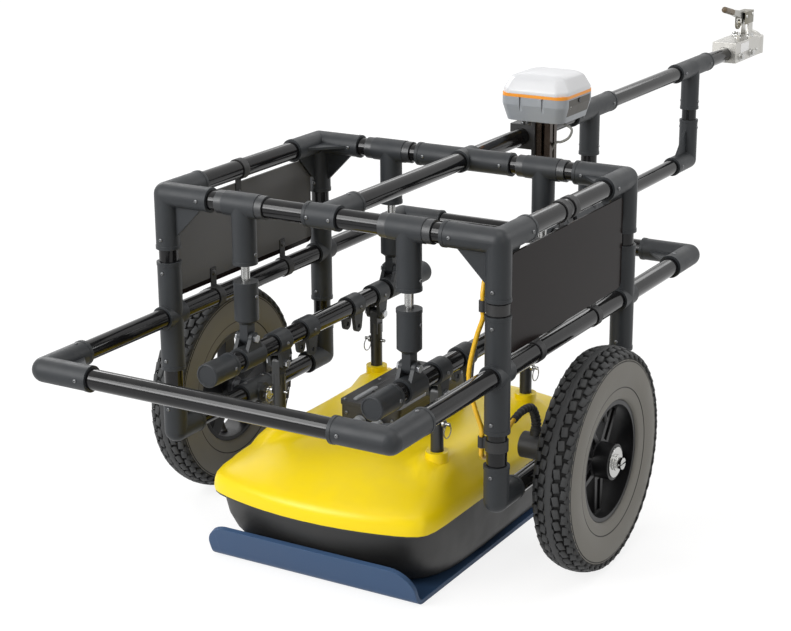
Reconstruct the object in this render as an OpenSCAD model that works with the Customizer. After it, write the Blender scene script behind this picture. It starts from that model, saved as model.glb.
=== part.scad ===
// Ground penetrating radar cart: a pipe frame on two wheels with a swinging antenna carrier, and a tow frame
// that holds a satellite receiver and a ball coupler. Millimetres, X to the right, Y ahead, Z up. The skid
// stands on Z = 0 and the axle line crosses above the origin.

/* [Pipe and fittings] */
// Outer diameter of the frame pipe
pipe_d = 33.4; // [31:0.1:35]
// Wall of the frame pipe
pipe_wall = 3.4; // [2.4:0.1:4.4]
// Wall of a moulded fitting round its pipe
fitting_wall = 3.9; // [3:0.1:4.6]
// Length of a fitting's arm from its centre to its mouth
socket_l = 95; // [88:1:97]
// Arm length of the bottom elbows
base_socket_l = 60; // [50:1:66]
// Half height of a waist cross
cross_l = 97; // [90:1:99]
// Half length of a waist cross along its rail
cross_collar_l = 26; // [24:1:32]
// Thickness of the gusset webs
web_t = 5; // [4:0.5:8]
// Height of the rims at the mouths of the fittings
rim_proud = 0.8; // [0.4:0.1:1.2]
// Width of the rims at the mouths of the fittings
rim_w = 6; // [4:0.5:9]

/* [Frame] */
// Post spacing across the cart
frame_w = 634; // [614:1:680]
// Post spacing along the cart
frame_l = 480; // [462:1:520]
// Waist rails above the axle line
waist_rise = 212; // [204:1:240]
// Top rails above the waist rails
top_rise = 215; // [210:1:245]
// Rear bumper behind the rear posts
rear_reach = 330; // [270:1:380]
// Front bumper ahead of the front posts
front_reach = 314; // [270:1:340]

/* [Tow frame] */
// First tow post ahead of the axle line
near_post_y = 780; // [770:1:820]
// Second tow post ahead of the axle line
far_post_y = 1334; // [1220:1:1360]
// Back plate of the coupler ahead of the axle line
coupler_y = 1545; // [1530:1:1620]

/* [Coupler] */
// Towing ball that the cup takes
ball_d = 50.8; // [47:0.1:51]
// Width of the coupler channel
coupler_w = 60; // [59:1:66]
// Height of the coupler channel
coupler_h = 48; // [46:1:56]
// Sheet thickness of the coupler
coupler_t = 4; // [3:0.5:5]
// Ball centre ahead of the back plate
ball_reach = 180; // [160:1:200]
// Length of the latch lever from its pivot
lever_l = 158; // [140:1:170]

/* [Wheels] */
// Tyre diameter
tyre_d = 386; // [372:1:400]
// Tyre width
tyre_w = 68; // [64:1:72]
// Diameter of the rim flanges
rim_d = 209; // [206:1:212]
// Gap between a tyre and the post fittings
wheel_gap = 11.5; // [8:0.5:16]
// Spokes of a rim
spokes = 5; // [4:1:6]
// Blocks in one row of tread
tread_blocks = 42; // [28:1:48]
// Stub axle diameter
axle_d = 16; // [14:0.5:18]
// Hub diameter
hub_d = 62; // [56:1:68]

/* [Suspension] */
// Hanger line inside the post line
hanger_inset = 159; // [150:1:175]
// Length of a hanger along its rail
hanger_run = 66; // [58:1:70]
// Hanger stem from the rail's axis
stem_l = 101; // [96:1:108]
// Bright rod that shows between the stem and the barrel
rod_gap = 30; // [26:1:38]
// Rod diameter
rod_d = 15; // [13:0.5:17]
// Barrel length
barrel_l = 67; // [60:1:74]
// Neck from the barrel to its pivot
neck_l = 32; // [30:1:36]
// Pivot above the carrier tube's axis
pivot_rise = 34; // [33.5:0.5:40]
// Carrier tube beyond the pivots
tube_overhang = 112; // [108:1:130]
// Lug bolt below the carrier tube's axis
lug_drop = 37; // [35:1:42]
// Antenna post diameter
post_d = 22; // [20:0.5:24]

/* [Antenna] */
// Length of the antenna cover
antenna_l = 688; // [660:1:720]
// Width of the antenna cover
antenna_w = 434; // [426:1:440]
// Antenna centre ahead of the axle line
antenna_y = 16; // [0:1:24]
// Lower edge of the cover
cover_edge_z = 121; // [112:1:126]
// Top of the cover in its middle
cover_top_z = 194; // [188:1:202]
// Height of the four raised pads over the middle
pad_h = 14; // [8:1:18]
// Boss height over a pad
boss_h = 7; // [4:1:10]
// Boss line inside the hanger pivots
boss_inset = 75; // [72:1:85]
// Shell thickness of the cover and the tub
shell_t = 4; // [3:0.5:5]

/* [Skid and boxes] */
// Skid width
skid_w = 410; // [396:1:416]
// Flat length of the skid
skid_l = 590; // [572:1:604]
// Skid thickness
skid_t = 8; // [6:0.5:9]
// Straight length of a lip
lip_l = 55; // [50:1:58]
// Lean of a lip
lip_angle = 68; // [54:1:74]
// Control box width
box_w = 118; // [100:1:124]
// Control box length
box_l = 246; // [220:1:260]
// Control box height
box_h = 60; // [48:1:66]
// Board thickness
board_t = 4; // [3:0.5:6]
// Board edge inside the post lines
board_inset = 27; // [25:1:60]
// Board edge clear of the rail axes
board_margin = 26; // [24:1:40]

/* [Odometer and receiver] */
// Odometer housing diameter
encoder_d = 46; // [42:1:50]
// Odometer housing length
encoder_l = 48; // [40:1:50]
// Odometer cable diameter
cable_d = 8; // [7:0.5:9]
// Receiver width at its band
receiver_w = 136; // [126:1:142]
// Receiver body height
receiver_h = 46; // [42:1:54]
// Receiver dome height
dome_h = 36; // [30:1:42]
// Side of the receiver's slotted post
slot_post_w = 30; // [29:0.5:32]
// Receiver bracket ahead of the axle line
receiver_y = 485; // [450:1:560]

/* [Hidden] */
$fn = 64;
// clearances: fixed seats, running seats, free gaps, and the overrun of cuts
fit = 0.15;
run = 0.07;
gap = 0.4;
over = 1;

UP = [0, 0, 0];
DOWN = [180, 0, 0];
RIGHT = [0, 90, 0];
LEFT = [0, -90, 0];
AHEAD = [-90, 0, 0];
BACK = [90, 0, 0];

bore_d = pipe_d + 2 * fit;
fitting_d = bore_d + 2 * fitting_wall;
pipe_stop = fitting_d / 2;
cross_web = 3;
waist_stop = bore_d / 2 + cross_web;
web_share = 0.97;

post_x = frame_w / 2;
post_y = frame_l / 2;
base_z = tyre_d / 2;
waist_z = base_z + waist_rise;
top_z = waist_z + top_rise;
rear_y = -post_y - rear_reach;
front_y = post_y + front_reach;
corners = [[1, 1, 0], [-1, 1, 90], [-1, -1, 180], [1, -1, 270]];
sides = [-1, 1];

hanger_x = post_x - hanger_inset;
slip_run = 62;
ring_w = 14;
ring_t = 3;

stem_z = top_z - stem_l;
barrel_top_z = stem_z - rod_gap;
barrel_z = barrel_top_z - barrel_l;
pivot_z = barrel_z - neck_l;
tube_z = pivot_z - pivot_rise;
lug_z = tube_z - lug_drop;
tube_l = frame_l + 2 * tube_overhang;
rod_in_stem = 46;
rod_in_barrel = 50;
stem_cap = 5;
tongue_t = 16;
tongue_w = 22;
taper_l = 8;
bolt_d = 8;
bolt_head_w = 14;
bolt_head_l = 5.5;
ear_t = 7;
ear_gap = 0.5;
collar_l = 56;
lug_collar_l = 36;
cap_l = 66;
cap_t = 5;
spare_share = 0.47;
lug_span = post_y - boss_inset;
lug_shares = [-1, -spare_share, spare_share, 1];

boss_z = cover_top_z + pad_h + boss_h;
boss_d = 40;
boss_depth = 16;
pin_d = 6;
pin_rise = 50;
pin_z = boss_z + pin_rise;
pin_tip = 7;
pin_head_d = 13;
pin_head_l = 4;
pin_tail_l = 9;
split_ring_d = 26;
split_ring_wire = 2;
shoulder_rise = 40;
tang_step = 1;

wheel_x = post_x + pipe_stop + rim_proud + wheel_gap + tyre_w / 2;
tyre_r = tyre_d / 2;
seat_r = 101;
rim_t = 4;
rim_band_w = 48;
section_h = tyre_r - seat_r;
crown_r = 60;
wall_r = 90;
wall_mid_share = 0.6196;
wall_mid_r = seat_r + section_h * wall_mid_share;
bead_in = 7;
tube_share = 0.2391;
tube_r = section_h * tube_share;
tube_mid_share = 0.5435;
tube_mid_r = seat_r + section_h * tube_mid_share;
rib_w = 10;
groove_w = 4;
groove_h = 5;
row_w = 10;
notch_w = 6.5;
rib_bite = 1.5;
wall_line_shares = [0.2826, 0.837];
wall_lines = [for (k = wall_line_shares) seat_r + section_h * k];
wall_line_r = 0.9;
hub_in = 28;
hub_out = 32;
spoke_t = 20;
spoke_z = -6;
spoke_w = 36;
spoke_tip_w = 26;
spoke_pocket_h = 5;
spoke_pocket_share = 0.5;
bearing_d = 35;
bearing_w = 11;
axle_run_l = 84;
axle_boss_d = 36;
axle_boss_l = 24;
shoulder_d = 22;
shoulder_clear = 1;
nut_w = 26;
nut_l = 12;
disc_d = 52;
disc_t = 2;
washer_d = 28;
washer_t = 4;
head_w = 20;
head_l = 9;
slot_w = 3;
disc_slot_r = 12;

// levels of the cover: shares of its half length, half width and height, and the power that squares it
cover_level_shares = [[1, 1, 0, 18], [1.001, 1.002, 0.1, 18], [0.999, 1, 0.24, 17],
    [0.993, 0.996, 0.36, 15], [0.975, 0.986, 0.44, 13], [0.94, 0.967, 0.53, 11], [0.895, 0.945, 0.63, 9],
    [0.83, 0.91, 0.75, 7.5], [0.76, 0.87, 0.85, 6.5], [0.68, 0.82, 0.925, 6], [0.6, 0.75, 0.975, 6],
    [0.5, 0.66, 1, 6], [0.42, 0.56, 1, 6], [0.3, 0.4, 1, 6]];
// levels of the tub: shares of its foot, its spread to the rim, its half width and height, and the power
tub_level_shares = [[0.71, 0, 0.7, 0, 6], [0.94, 0, 0.88, 0, 6], [0.977, 0, 0.915, 0.06, 6.5],
    [1, 0.12, 0.935, 0.16, 7], [1, 0.45, 0.952, 0.34, 9], [1, 0.78, 0.962, 0.6, 11], [1, 1, 0.968, 1, 14]];
corner_steps = 9;
crowd_power = 2;
bow_share = 0.116;
pinch_share = 0.1;
pinch_start_share = 0.3;
pinch_reach_share = 0.42;
pad_r = 56;
pad_flat_r = 30;
lap_h = 5;
lap_t = 3;
flange_t = 3.5;
flange_in = 1;
floor_t = 5;
tub_z = skid_t;
half_l = antenna_l / 2;
half_w = antenna_w / 2;
tub_clear = 7;
tub_foot = skid_l / 2 - tub_clear;
tub_rim_share = 0.965;
tub_rim = half_l * tub_rim_share;
column_l = 50;

// directions of an outline's points, closer together round its corners
corner_turn = atan2(half_l * (1 - bow_share), half_w);
quarter = concat([for (k = [0:corner_steps - 1]) corner_turn * (1 - pow(1 - k / corner_steps, crowd_power))],
    [for (k = [0:corner_steps]) corner_turn + (90 - corner_turn) * pow(k / corner_steps, crowd_power)]);
turns = concat(quarter, [for (k = [1:2 * corner_steps]) 180 - quarter[2 * corner_steps - k]],
    [for (k = [1:2 * corner_steps]) 180 + quarter[k]],
    [for (k = [1:2 * corner_steps - 1]) 360 - quarter[2 * corner_steps - k]]);

bend_r = 16;
lip_corner_r = 44;
bend_steps = 8;
box_corner_r = 8;
lid_h = 8;
lid_step = 2;

board_clear = 1.5;
board_x = post_x + web_t / 2 + board_clear;
board_l = frame_l - 2 * board_inset;
board_h = top_rise - 2 * board_margin;
board_corner_r = 12;
strap_w = 16;
strap_t = 2;
tab_l = 52;
top_strap_y = -25;
low_strap_y = 110;
cable_strap_w = 18;

element_w_share = 0.69;
element_l_share = 0.29;
element_w = antenna_w * element_w_share;
element_l = antenna_l * element_l_share;
element_t = 2;
element_rise = 12;
element_share = 0.42;
leg_d = 10;
card_w = 150;
card_l = 180;
card_rise = 45;

encoder_x = post_x - axle_boss_l - encoder_l / 2;
boot_d = 19;
spigot_wall = 1;
boot_tip_d = 13;
boot_rise = 30;
plug_d = 14;
plug_l = 46;
plug_drop = 26;
plug_angle = 36;
plug_x = post_x - plug_drop * sin(plug_angle);
plug_z = top_z - plug_drop * cos(plug_angle);
cable_clear = 1.5;
cable_lean = cable_d / 2 + cable_clear;
cable_post_x = post_x - pipe_stop - rim_proud - cable_lean;
low_strap_rise = 34;
high_strap_rise = 11;
low_strap = [cable_post_x, -post_y, base_z + base_socket_l + low_strap_rise];
high_strap = [cable_post_x, -post_y, waist_z + cross_l + high_strap_rise];
plug_y = top_strap_y + 2 * strap_w;

// bends of the boot from the spigot, then of the cable from the axle line, the two straps and the plug
boot_bends = [[0, 0, 0], [0, -2, 20], [0, -20, 46], [0, -54, 52], [2, -90, 48]];
axle_bends = [[8, -150, 66]];
low_bends = [[-6, 28, -36], [0, 0, -22], [0, 0, -10], [0, 0, 10], [0, 0, 22], [-15, 0, 62], [-24, 0, 108]];
high_bends = [[-12, 0, -58], [0, 0, -22], [0, 0, -10], [0, 0, 10], [0, 0, 22], [-2, 16, 48], [4, 45, 68]];
plug_bends = [[0, -134, -6], [0, -84, 0], [0, 0, 0]];
boot_route = [for (b = boot_bends) [encoder_x, 0, base_z + boot_rise] + b];
cable_route = concat([boot_route[len(boot_route) - 1]],
    [for (b = axle_bends) [encoder_x, 0, base_z] + b],
    [for (b = low_bends) low_strap + b],
    [for (b = high_bends) high_strap + b],
    [for (b = plug_bends) [plug_x, plug_y - plug_l / 2, plug_z] + b]);

receiver_off = 8;
receiver_rise = 40;
receiver_x = pipe_stop + slot_post_w / 2 + receiver_off;
receiver_z = top_z + receiver_rise;
receiver_foot_share = 0.89;
receiver_top_share = 0.7;
receiver_brow_share = 0.9;
dome_wall_share = 0.25;
dome_brow_share = 0.75;
body_foot_share = 0.33;
body_flare_share = 0.67;
receiver_corner_r = 20;
band_h = 6;
slot_drop = 45;
slot_open_w = 7;
slot_lip = 2;
slot_wide_w = 11;
slot_depth = 8;
slot_bore_d = 6;
bracket_l = 40;
bracket_h = 70;
bracket_t = 7;
cord_d = 5;
gland_depth = 5;
button_d = 9;
button_h = 3;
button_proud = 1.5;
button_share = 0.83;
gland_side_share = 0.375;
gland_back_share = 0.25;
face_groove_w = 5;
face_groove_t = 3;
face_groove_share = 0.17;
gland = [receiver_x + receiver_w * gland_side_share, receiver_y - receiver_w * gland_back_share, receiver_z];
slot = [receiver_x + (slot_post_w - slot_depth) / 2, receiver_y, receiver_z];

// bends of the receiver's cable from the gland and from the slot of the post
gland_bends = [[0, 0, 4], [1, 0, -3], [18, 0, -12], [12, 1, -29], [-6, 6, -40]];
slot_bends = [[16, -8, -46], [6, 0, -54], [0, 0, -66], [0, 0, -82]];
cord_route = concat([for (b = gland_bends) gland + b], [for (b = slot_bends) slot + b]);

tow_grip = 60;
ball_y = coupler_y + ball_reach;
cup_clear = 0.6;
cup_r = ball_d / 2 + cup_clear;
cup_wall = 6;
channel_drop = 20;
channel_z = top_z - channel_drop;
channel_top = channel_z + coupler_h;
cup_h = 24;
latch_gap = 14;
latch_t = 4;
latch_w = 34;
latch_rise = 44;
latch_tip_r = 12;
latch_back = 34;
pivot_d = 8;
lever_z = channel_top + latch_rise;
lever_y = ball_y - latch_back;
lever_t = 8;
lever_root_r = 13;
grip_d = 15;
grip_l = 52;
lever_angle = 13;
lever_root_h = 26;
trigger_back = 46;
trigger_drop = 8;
trigger_t = 5;
trigger_boss_r = 7;
trigger_hook_r = 15;
trigger_hook_t = 5;
trigger_d = 5;
lug_tip_r = 7;

// a length of frame pipe standing on the origin
module pipe(l) {
    difference() {
        cylinder(d = pipe_d, h = l);
        translate([0, 0, -over]) cylinder(d = pipe_d - 2 * pipe_wall, h = l + 2 * over);
    }
}

// one arm of a fitting with the rim at its mouth
module arm(l) {
    cylinder(d = fitting_d, h = l);
    translate([0, 0, l - rim_w]) cylinder(d = fitting_d + 2 * rim_proud, h = rim_w);
}

// a moulded fitting with closed arms round one centre; its webs come in as children
module fitting(arms, l = socket_l) {
    difference() {
        union() {
            sphere(d = fitting_d);
            for (a = arms) rotate(a) arm(l);
            children();
        }
        for (a = arms) rotate(a) translate([0, 0, pipe_stop]) cylinder(d = bore_d, h = l);
    }
}

// a fitting that a pipe runs straight through along X, with arms off its side
module slip_fitting(run_l, arms, l = socket_l) {
    difference() {
        union() {
            rotate(RIGHT) cylinder(d = fitting_d, h = run_l, center = true);
            for (s = sides) translate([s * (run_l - rim_w) / 2, 0, 0])
                rotate(RIGHT) cylinder(d = fitting_d + 2 * rim_proud, h = rim_w, center = true);
            for (a = arms) rotate(a) arm(l);
        }
        rotate(RIGHT) cylinder(d = bore_d, h = run_l + 2 * over, center = true);
        for (a = arms) rotate(a) translate([0, 0, pipe_stop]) cylinder(d = bore_d, h = l);
    }
}

// a triangular gusset in the first quadrant of the XY plane
module web(l = socket_l) {
    translate([0, 0, -web_t / 2]) linear_extrude(web_t)
        polygon([[0, 0], [l * web_share, 0], [0, l * web_share]]);
}

module at_corners(y) {
    for (c = corners) translate([c.x * post_x, c.y * y, 0]) rotate([0, 0, c.z]) children();
}

// a rectangle with round corners, centred
module round_rect(w, l, r) {
    square([w - 2 * r, l], center = true);
    square([w, l - 2 * r], center = true);
    for (x = sides, y = sides) translate([x * (w / 2 - r), y * (l / 2 - r)]) circle(r);
}

// a flat plate that stands across X; its outline is drawn in Y and Z
module side_plate(t) {
    rotate([90, 0, 90]) translate([0, 0, -t / 2]) linear_extrude(t) children();
}

// an ear from a foot on the first axis up to a round tip
module ear(foot_w, rise, tip_r) {
    polygon([[-foot_w / 2, 0], [foot_w / 2, 0], [tip_r, rise], [-tip_r, rise]]);
    translate([0, rise]) circle(tip_r);
}

function middle(r, i = 0) = i == len(r) ? [0, 0, 0] : r[i] / len(r) + middle(r, i + 1);

// a skin through rings of equal point count, closed over the first and the last ring
module skin(rings) {
    n = len(rings[0]);
    m = len(rings);
    last = (m - 1) * n;
    polyhedron(
        points = concat([for (r = rings) each r], [middle(rings[0]), middle(rings[m - 1])]),
        faces = concat(
            [for (i = [0:n - 1]) [m * n, i, (i + 1) % n]],
            [for (i = [0:n - 1]) [m * n + 1, last + (i + 1) % n, last + i]],
            [for (k = [0:m - 2], i = [0:n - 1], e = [0, 1]) e > 0
                ? [k * n + i, (k + 1) * n + i, (k + 1) * n + (i + 1) % n]
                : [k * n + i, (k + 1) * n + (i + 1) % n, k * n + (i + 1) % n]]));
}

// smooth line through route points, and the rings of a round cord along it
function spline(p, i, u) =
    let (a = p[max(i - 1, 0)], b = p[i], c = p[i + 1], d = p[min(i + 2, len(p) - 1)])
    (2 * b + (c - a) * u + (2 * a - 5 * b + 4 * c - d) * u * u + (3 * b - a - 3 * c + d) * u * u * u) / 2;
function line_of(p, n) =
    concat([for (i = [0:len(p) - 2], k = [0:n - 1]) spline(p, i, k / n)], [p[len(p) - 1]]);
function unit(v) = v / norm(v);
function cord_rings(q, d, tip_d, n, ref) = [for (k = [0:len(q) - 1])
    let (t = unit(q[min(k + 1, len(q) - 1)] - q[max(k - 1, 0)]),
        a = unit(cross(t, ref)),
        b = cross(t, a),
        r = (d + (tip_d - d) * k / (len(q) - 1)) / 2)
    [for (i = [0:n - 1]) q[k] + r * cos(360 * i / n) * a + r * sin(360 * i / n) * b]];

// frame

module top_rails() {
    color("#161718") {
        translate([pipe_stop - post_x, -post_y, top_z]) rotate(RIGHT) pipe(frame_w - 2 * pipe_stop);
        for (s = sides) {
            translate([s * post_x, pipe_stop - post_y, top_z]) rotate(AHEAD) pipe(frame_l - 2 * pipe_stop);
            translate([s * waist_stop, post_y, top_z])
                rotate(s > 0 ? RIGHT : LEFT) pipe(post_x - waist_stop - pipe_stop);
        }
    }
}

module posts() {
    color("#161718") for (x = sides, y = sides) translate([x * post_x, y * post_y, 0]) {
        translate([0, 0, waist_z + waist_stop]) pipe(top_rise - waist_stop - pipe_stop);
        translate([0, 0, base_z + pipe_stop]) pipe(waist_rise - waist_stop - pipe_stop);
    }
}

module waist_rails() {
    color("#161718") {
        for (s = sides) translate([s * post_x, rear_y + pipe_stop, waist_z])
            rotate(AHEAD) pipe(front_y - rear_y - 2 * pipe_stop);
        for (y = [rear_y, front_y]) translate([pipe_stop - post_x, y, waist_z])
            rotate(RIGHT) pipe(frame_w - 2 * pipe_stop);
    }
}

module base_rails() {
    color("#161718") for (s = sides) translate([s * post_x, 0, base_z]) difference() {
        translate([0, pipe_stop - post_y, 0]) rotate(AHEAD) pipe(frame_l - 2 * pipe_stop);
        rotate(RIGHT) cylinder(d = axle_d + 2 * fit, h = fitting_d, center = true);
    }
}

module top_corners() {
    color("#3a3d40") translate([0, 0, top_z]) at_corners(post_y) fitting([LEFT, BACK, DOWN]) {
        rotate([0, 0, 180]) web();
        rotate([90, 0, 0]) rotate([0, 0, 180]) web();
        rotate([0, -90, 0]) rotate([0, 0, 180]) web();
    }
}

// a cross that one pipe runs straight through along Y; its long arms along Z take a pipe each
module run_cross() {
    difference() {
        union() {
            rotate(AHEAD) cylinder(d = fitting_d, h = 2 * cross_collar_l, center = true);
            arm(cross_l);
            rotate(DOWN) arm(cross_l);
        }
        rotate(AHEAD) cylinder(d = bore_d, h = 2 * (cross_collar_l + over), center = true);
        for (a = [UP, DOWN]) rotate(a) translate([0, 0, waist_stop]) cylinder(d = bore_d, h = cross_l);
    }
}

module waist_crosses() {
    color("#3a3d40") for (x = sides, y = sides) translate([x * post_x, y * post_y, waist_z]) run_cross();
}

module waist_corners() {
    color("#3a3d40") translate([0, 0, waist_z]) for (c = corners)
        translate([c.x * post_x, c.y > 0 ? front_y : rear_y, 0]) rotate([0, 0, c.z])
            fitting([LEFT, BACK]) rotate([0, 0, 180]) web();
}

module base_elbows() {
    color("#3a3d40") for (x = sides, y = sides) translate([x * post_x, y * post_y, base_z])
        rotate([0, 0, y > 0 ? 180 : 0]) fitting([UP, AHEAD], base_socket_l)
            rotate([0, -90, 0]) web(base_socket_l);
}

module axle_tees() {
    color("#3a3d40") for (s = sides) translate([s * post_x, 0, base_z]) difference() {
        union() {
            rotate(AHEAD) cylinder(d = fitting_d, h = axle_run_l, center = true);
            for (e = sides) translate([0, e * (axle_run_l - rim_w) / 2, 0])
                rotate(AHEAD) cylinder(d = fitting_d + 2 * rim_proud, h = rim_w, center = true);
            rotate(RIGHT) cylinder(d = axle_boss_d, h = 2 * axle_boss_l, center = true);
        }
        rotate(AHEAD) cylinder(d = bore_d, h = axle_run_l + 2 * over, center = true);
        rotate(RIGHT) cylinder(d = axle_d + 2 * fit, h = 2 * (axle_boss_l + over), center = true);
    }
}

module spine_fittings() {
    color("#3a3d40") {
        translate([0, -post_y, top_z]) slip_fitting(slip_run, [AHEAD]);
        translate([0, post_y, top_z]) rotate(RIGHT) run_cross();
        translate([0, front_y, waist_z]) slip_fitting(slip_run, [AHEAD]);
    }
}

module tow_bar() {
    color("#161718") translate([0, pipe_stop - post_y, top_z])
        rotate(AHEAD) pipe(coupler_y + tow_grip + post_y - pipe_stop);
}

module tow_fittings() {
    color("#3a3d40") {
        for (y = [near_post_y, far_post_y]) translate([0, y, top_z])
            rotate([0, 0, 90]) slip_fitting(2 * socket_l, [DOWN]);
        translate([0, near_post_y, waist_z]) rotate([0, 0, 90]) slip_fitting(2 * socket_l, [UP]);
        translate([0, far_post_y, waist_z]) fitting([UP, BACK]) rotate([0, -90, 0]) rotate([0, 0, -90]) web();
    }
}

module tow_frame_pipes() {
    color("#161718") {
        for (y = [near_post_y, far_post_y]) translate([0, y, waist_z + pipe_stop])
            pipe(top_rise - 2 * pipe_stop);
        translate([0, front_y + pipe_stop, waist_z]) rotate(AHEAD) pipe(far_post_y - front_y - 2 * pipe_stop);
    }
}

module retaining_rings() {
    color("#33363a") for (x = sides, e = sides, y = sides)
        translate([x * hanger_x + e * (hanger_run / 2 + gap + ring_w / 2), y * post_y, top_z])
            rotate(RIGHT) difference() {
                cylinder(d = bore_d + 2 * ring_t, h = ring_w, center = true);
                cylinder(d = bore_d, h = ring_w + 2 * over, center = true);
            }
}

module side_boards() {
    color("#3a3433") for (s = sides) translate([s * (board_x + board_t / 2), 0, waist_z + top_rise / 2])
        side_plate(board_t) round_rect(board_l, board_h, board_corner_r);
}

// a strap round a side rail with a tab that lies on the board
module board_strap(s, up) {
    difference() {
        union() {
            rotate(AHEAD) cylinder(d = pipe_d + 2 * (fit + strap_t), h = strap_w, center = true);
            translate([s * (board_x - post_x - strap_t / 2), 0, up * tab_l / 2])
                cube([strap_t, strap_w, tab_l], center = true);
        }
        rotate(AHEAD) cylinder(d = bore_d, h = strap_w + 2 * over, center = true);
    }
}

// a strap that holds a cord beside a pipe along Z, the cord off towards -X
module cord_strap(off, d, w) {
    difference() {
        union() {
            cylinder(d = bore_d + 2 * strap_t, h = w, center = true);
            translate([-off, 0, 0]) cylinder(d = d + 2 * (gap + strap_t), h = w, center = true);
            translate([-off / 2, 0, 0]) cube([off, d, w], center = true);
        }
        cylinder(d = bore_d, h = w + 2 * over, center = true);
        translate([-off, 0, 0]) cylinder(d = d + 2 * gap, h = w + 2 * over, center = true);
    }
}

module straps() {
    color("#1c1d1f") {
        for (s = sides) {
            translate([s * post_x, top_strap_y, top_z]) board_strap(s, -1);
            for (y = sides) translate([s * post_x, y * low_strap_y, waist_z]) board_strap(s, 1);
        }
        for (p = [low_strap, high_strap]) translate([post_x, p.y, p.z])
            cord_strap(post_x - p.x, cable_d, cable_strap_w);
        translate([post_x, plug_y, top_z]) rotate(AHEAD) rotate([0, 0, plug_angle - 90])
            cord_strap(plug_drop, plug_d, strap_w);
    }
}

// suspension

module hanger() {
    difference() {
        union() {
            rotate(RIGHT) cylinder(d = fitting_d, h = hanger_run, center = true);
            rotate(DOWN) arm(stem_l);
        }
        rotate(RIGHT) cylinder(d = pipe_d + 2 * run, h = hanger_run + 2 * over, center = true);
        translate([0, 0, -stem_l - over])
            cylinder(d = rod_d + 2 * run, h = stem_l + over - bore_d / 2 - stem_cap);
    }
}

module rod() {
    translate([0, 0, barrel_top_z - rod_in_barrel])
        cylinder(d = rod_d, h = rod_in_barrel + rod_gap + rod_in_stem);
}

module barrel() {
    difference() {
        union() {
            translate([0, 0, barrel_z]) cylinder(d = fitting_d, h = barrel_l);
            translate([0, 0, barrel_top_z - rim_w]) cylinder(d = fitting_d + 2 * rim_proud, h = rim_w);
            translate([0, 0, barrel_z - taper_l]) cylinder(d1 = tongue_w, d2 = fitting_d, h = taper_l);
            translate([0, 0, pivot_z]) side_plate(tongue_t) {
                circle(d = tongue_w);
                translate([-tongue_w / 2, 0]) square([tongue_w, neck_l]);
            }
        }
        translate([0, 0, barrel_top_z - rod_in_barrel])
            cylinder(d = rod_d + 2 * fit, h = rod_in_barrel + over);
        translate([0, 0, pivot_z]) rotate(RIGHT)
            cylinder(d = bolt_d + 2 * run, h = tongue_t + 2 * over, center = true);
    }
}

module rear_hangers() {
    color("#3a3d40") for (s = sides) translate([s * hanger_x, -post_y, top_z]) hanger();
}

module front_hangers() {
    color("#3a3d40") for (s = sides) translate([s * hanger_x, post_y, top_z]) hanger();
}

module rear_rods() {
    color("#c9ccd0") for (s = sides) translate([s * hanger_x, -post_y, 0]) rod();
}

module front_rods() {
    color("#c9ccd0") for (s = sides) translate([s * hanger_x, post_y, 0]) rod();
}

module rear_barrels() {
    color("#3a3d40") for (s = sides) translate([s * hanger_x, -post_y, 0]) barrel();
}

module front_barrels() {
    color("#3a3d40") for (s = sides) translate([s * hanger_x, post_y, 0]) barrel();
}

module carrier_tubes() {
    color("#161718") for (s = sides) translate([s * hanger_x, -tube_l / 2, tube_z])
        rotate(AHEAD) pipe(tube_l);
}

module tube_caps() {
    color("#3a3d40") for (x = sides, y = sides) translate([x * hanger_x, y * (tube_l / 2 + cap_t), tube_z])
        rotate(y > 0 ? BACK : AHEAD) difference() {
            union() {
                cylinder(d = fitting_d, h = cap_l);
                translate([0, 0, cap_l - rim_w]) cylinder(d = fitting_d + 2 * rim_proud, h = rim_w);
            }
            translate([0, 0, cap_t]) cylinder(d = bore_d, h = cap_l);
        }
}

// a sleeve on a carrier tube with a pair of ears that stand up
module eared_collar(l, rise) {
    difference() {
        union() {
            rotate(AHEAD) cylinder(d = fitting_d, h = l, center = true);
            for (s = sides) translate([s * (tongue_t / 2 + ear_gap + ear_t / 2), 0, 0])
                side_plate(ear_t) ear(l, rise, tongue_w / 2);
        }
        rotate(AHEAD) cylinder(d = bore_d, h = l + 2 * over, center = true);
        translate([0, 0, rise]) rotate(RIGHT)
            cylinder(d = bolt_d + 2 * fit, h = fitting_d + over, center = true);
    }
}

module hanger_collars() {
    color("#3a3d40") for (x = sides, y = sides) translate([x * hanger_x, y * post_y, tube_z])
        eared_collar(collar_l, pivot_rise);
}

module lug_collars() {
    color("#3a3d40") for (x = sides, k = lug_shares)
        translate([x * hanger_x, antenna_y + k * lug_span, tube_z])
            rotate([0, 180, 0]) eared_collar(lug_collar_l, lug_drop);
}

// a bolt along X with its head and nut outside the ears
module ear_bolt() {
    grip = tongue_t + 2 * (ear_gap + ear_t);
    rotate(RIGHT) {
        cylinder(d = bolt_d, h = grip + 2 * bolt_head_l, center = true);
        for (s = sides) translate([0, 0, s * (grip + bolt_head_l) / 2])
            cylinder(d = bolt_head_w, h = bolt_head_l, center = true, $fn = 6);
    }
}

module pivot_bolts() {
    color("#b4b7ba") for (x = sides) {
        for (y = sides) translate([x * hanger_x, y * post_y, pivot_z]) ear_bolt();
        for (y = sides) translate([x * hanger_x, antenna_y + y * lug_span, lug_z]) ear_bolt();
    }
}

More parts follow.
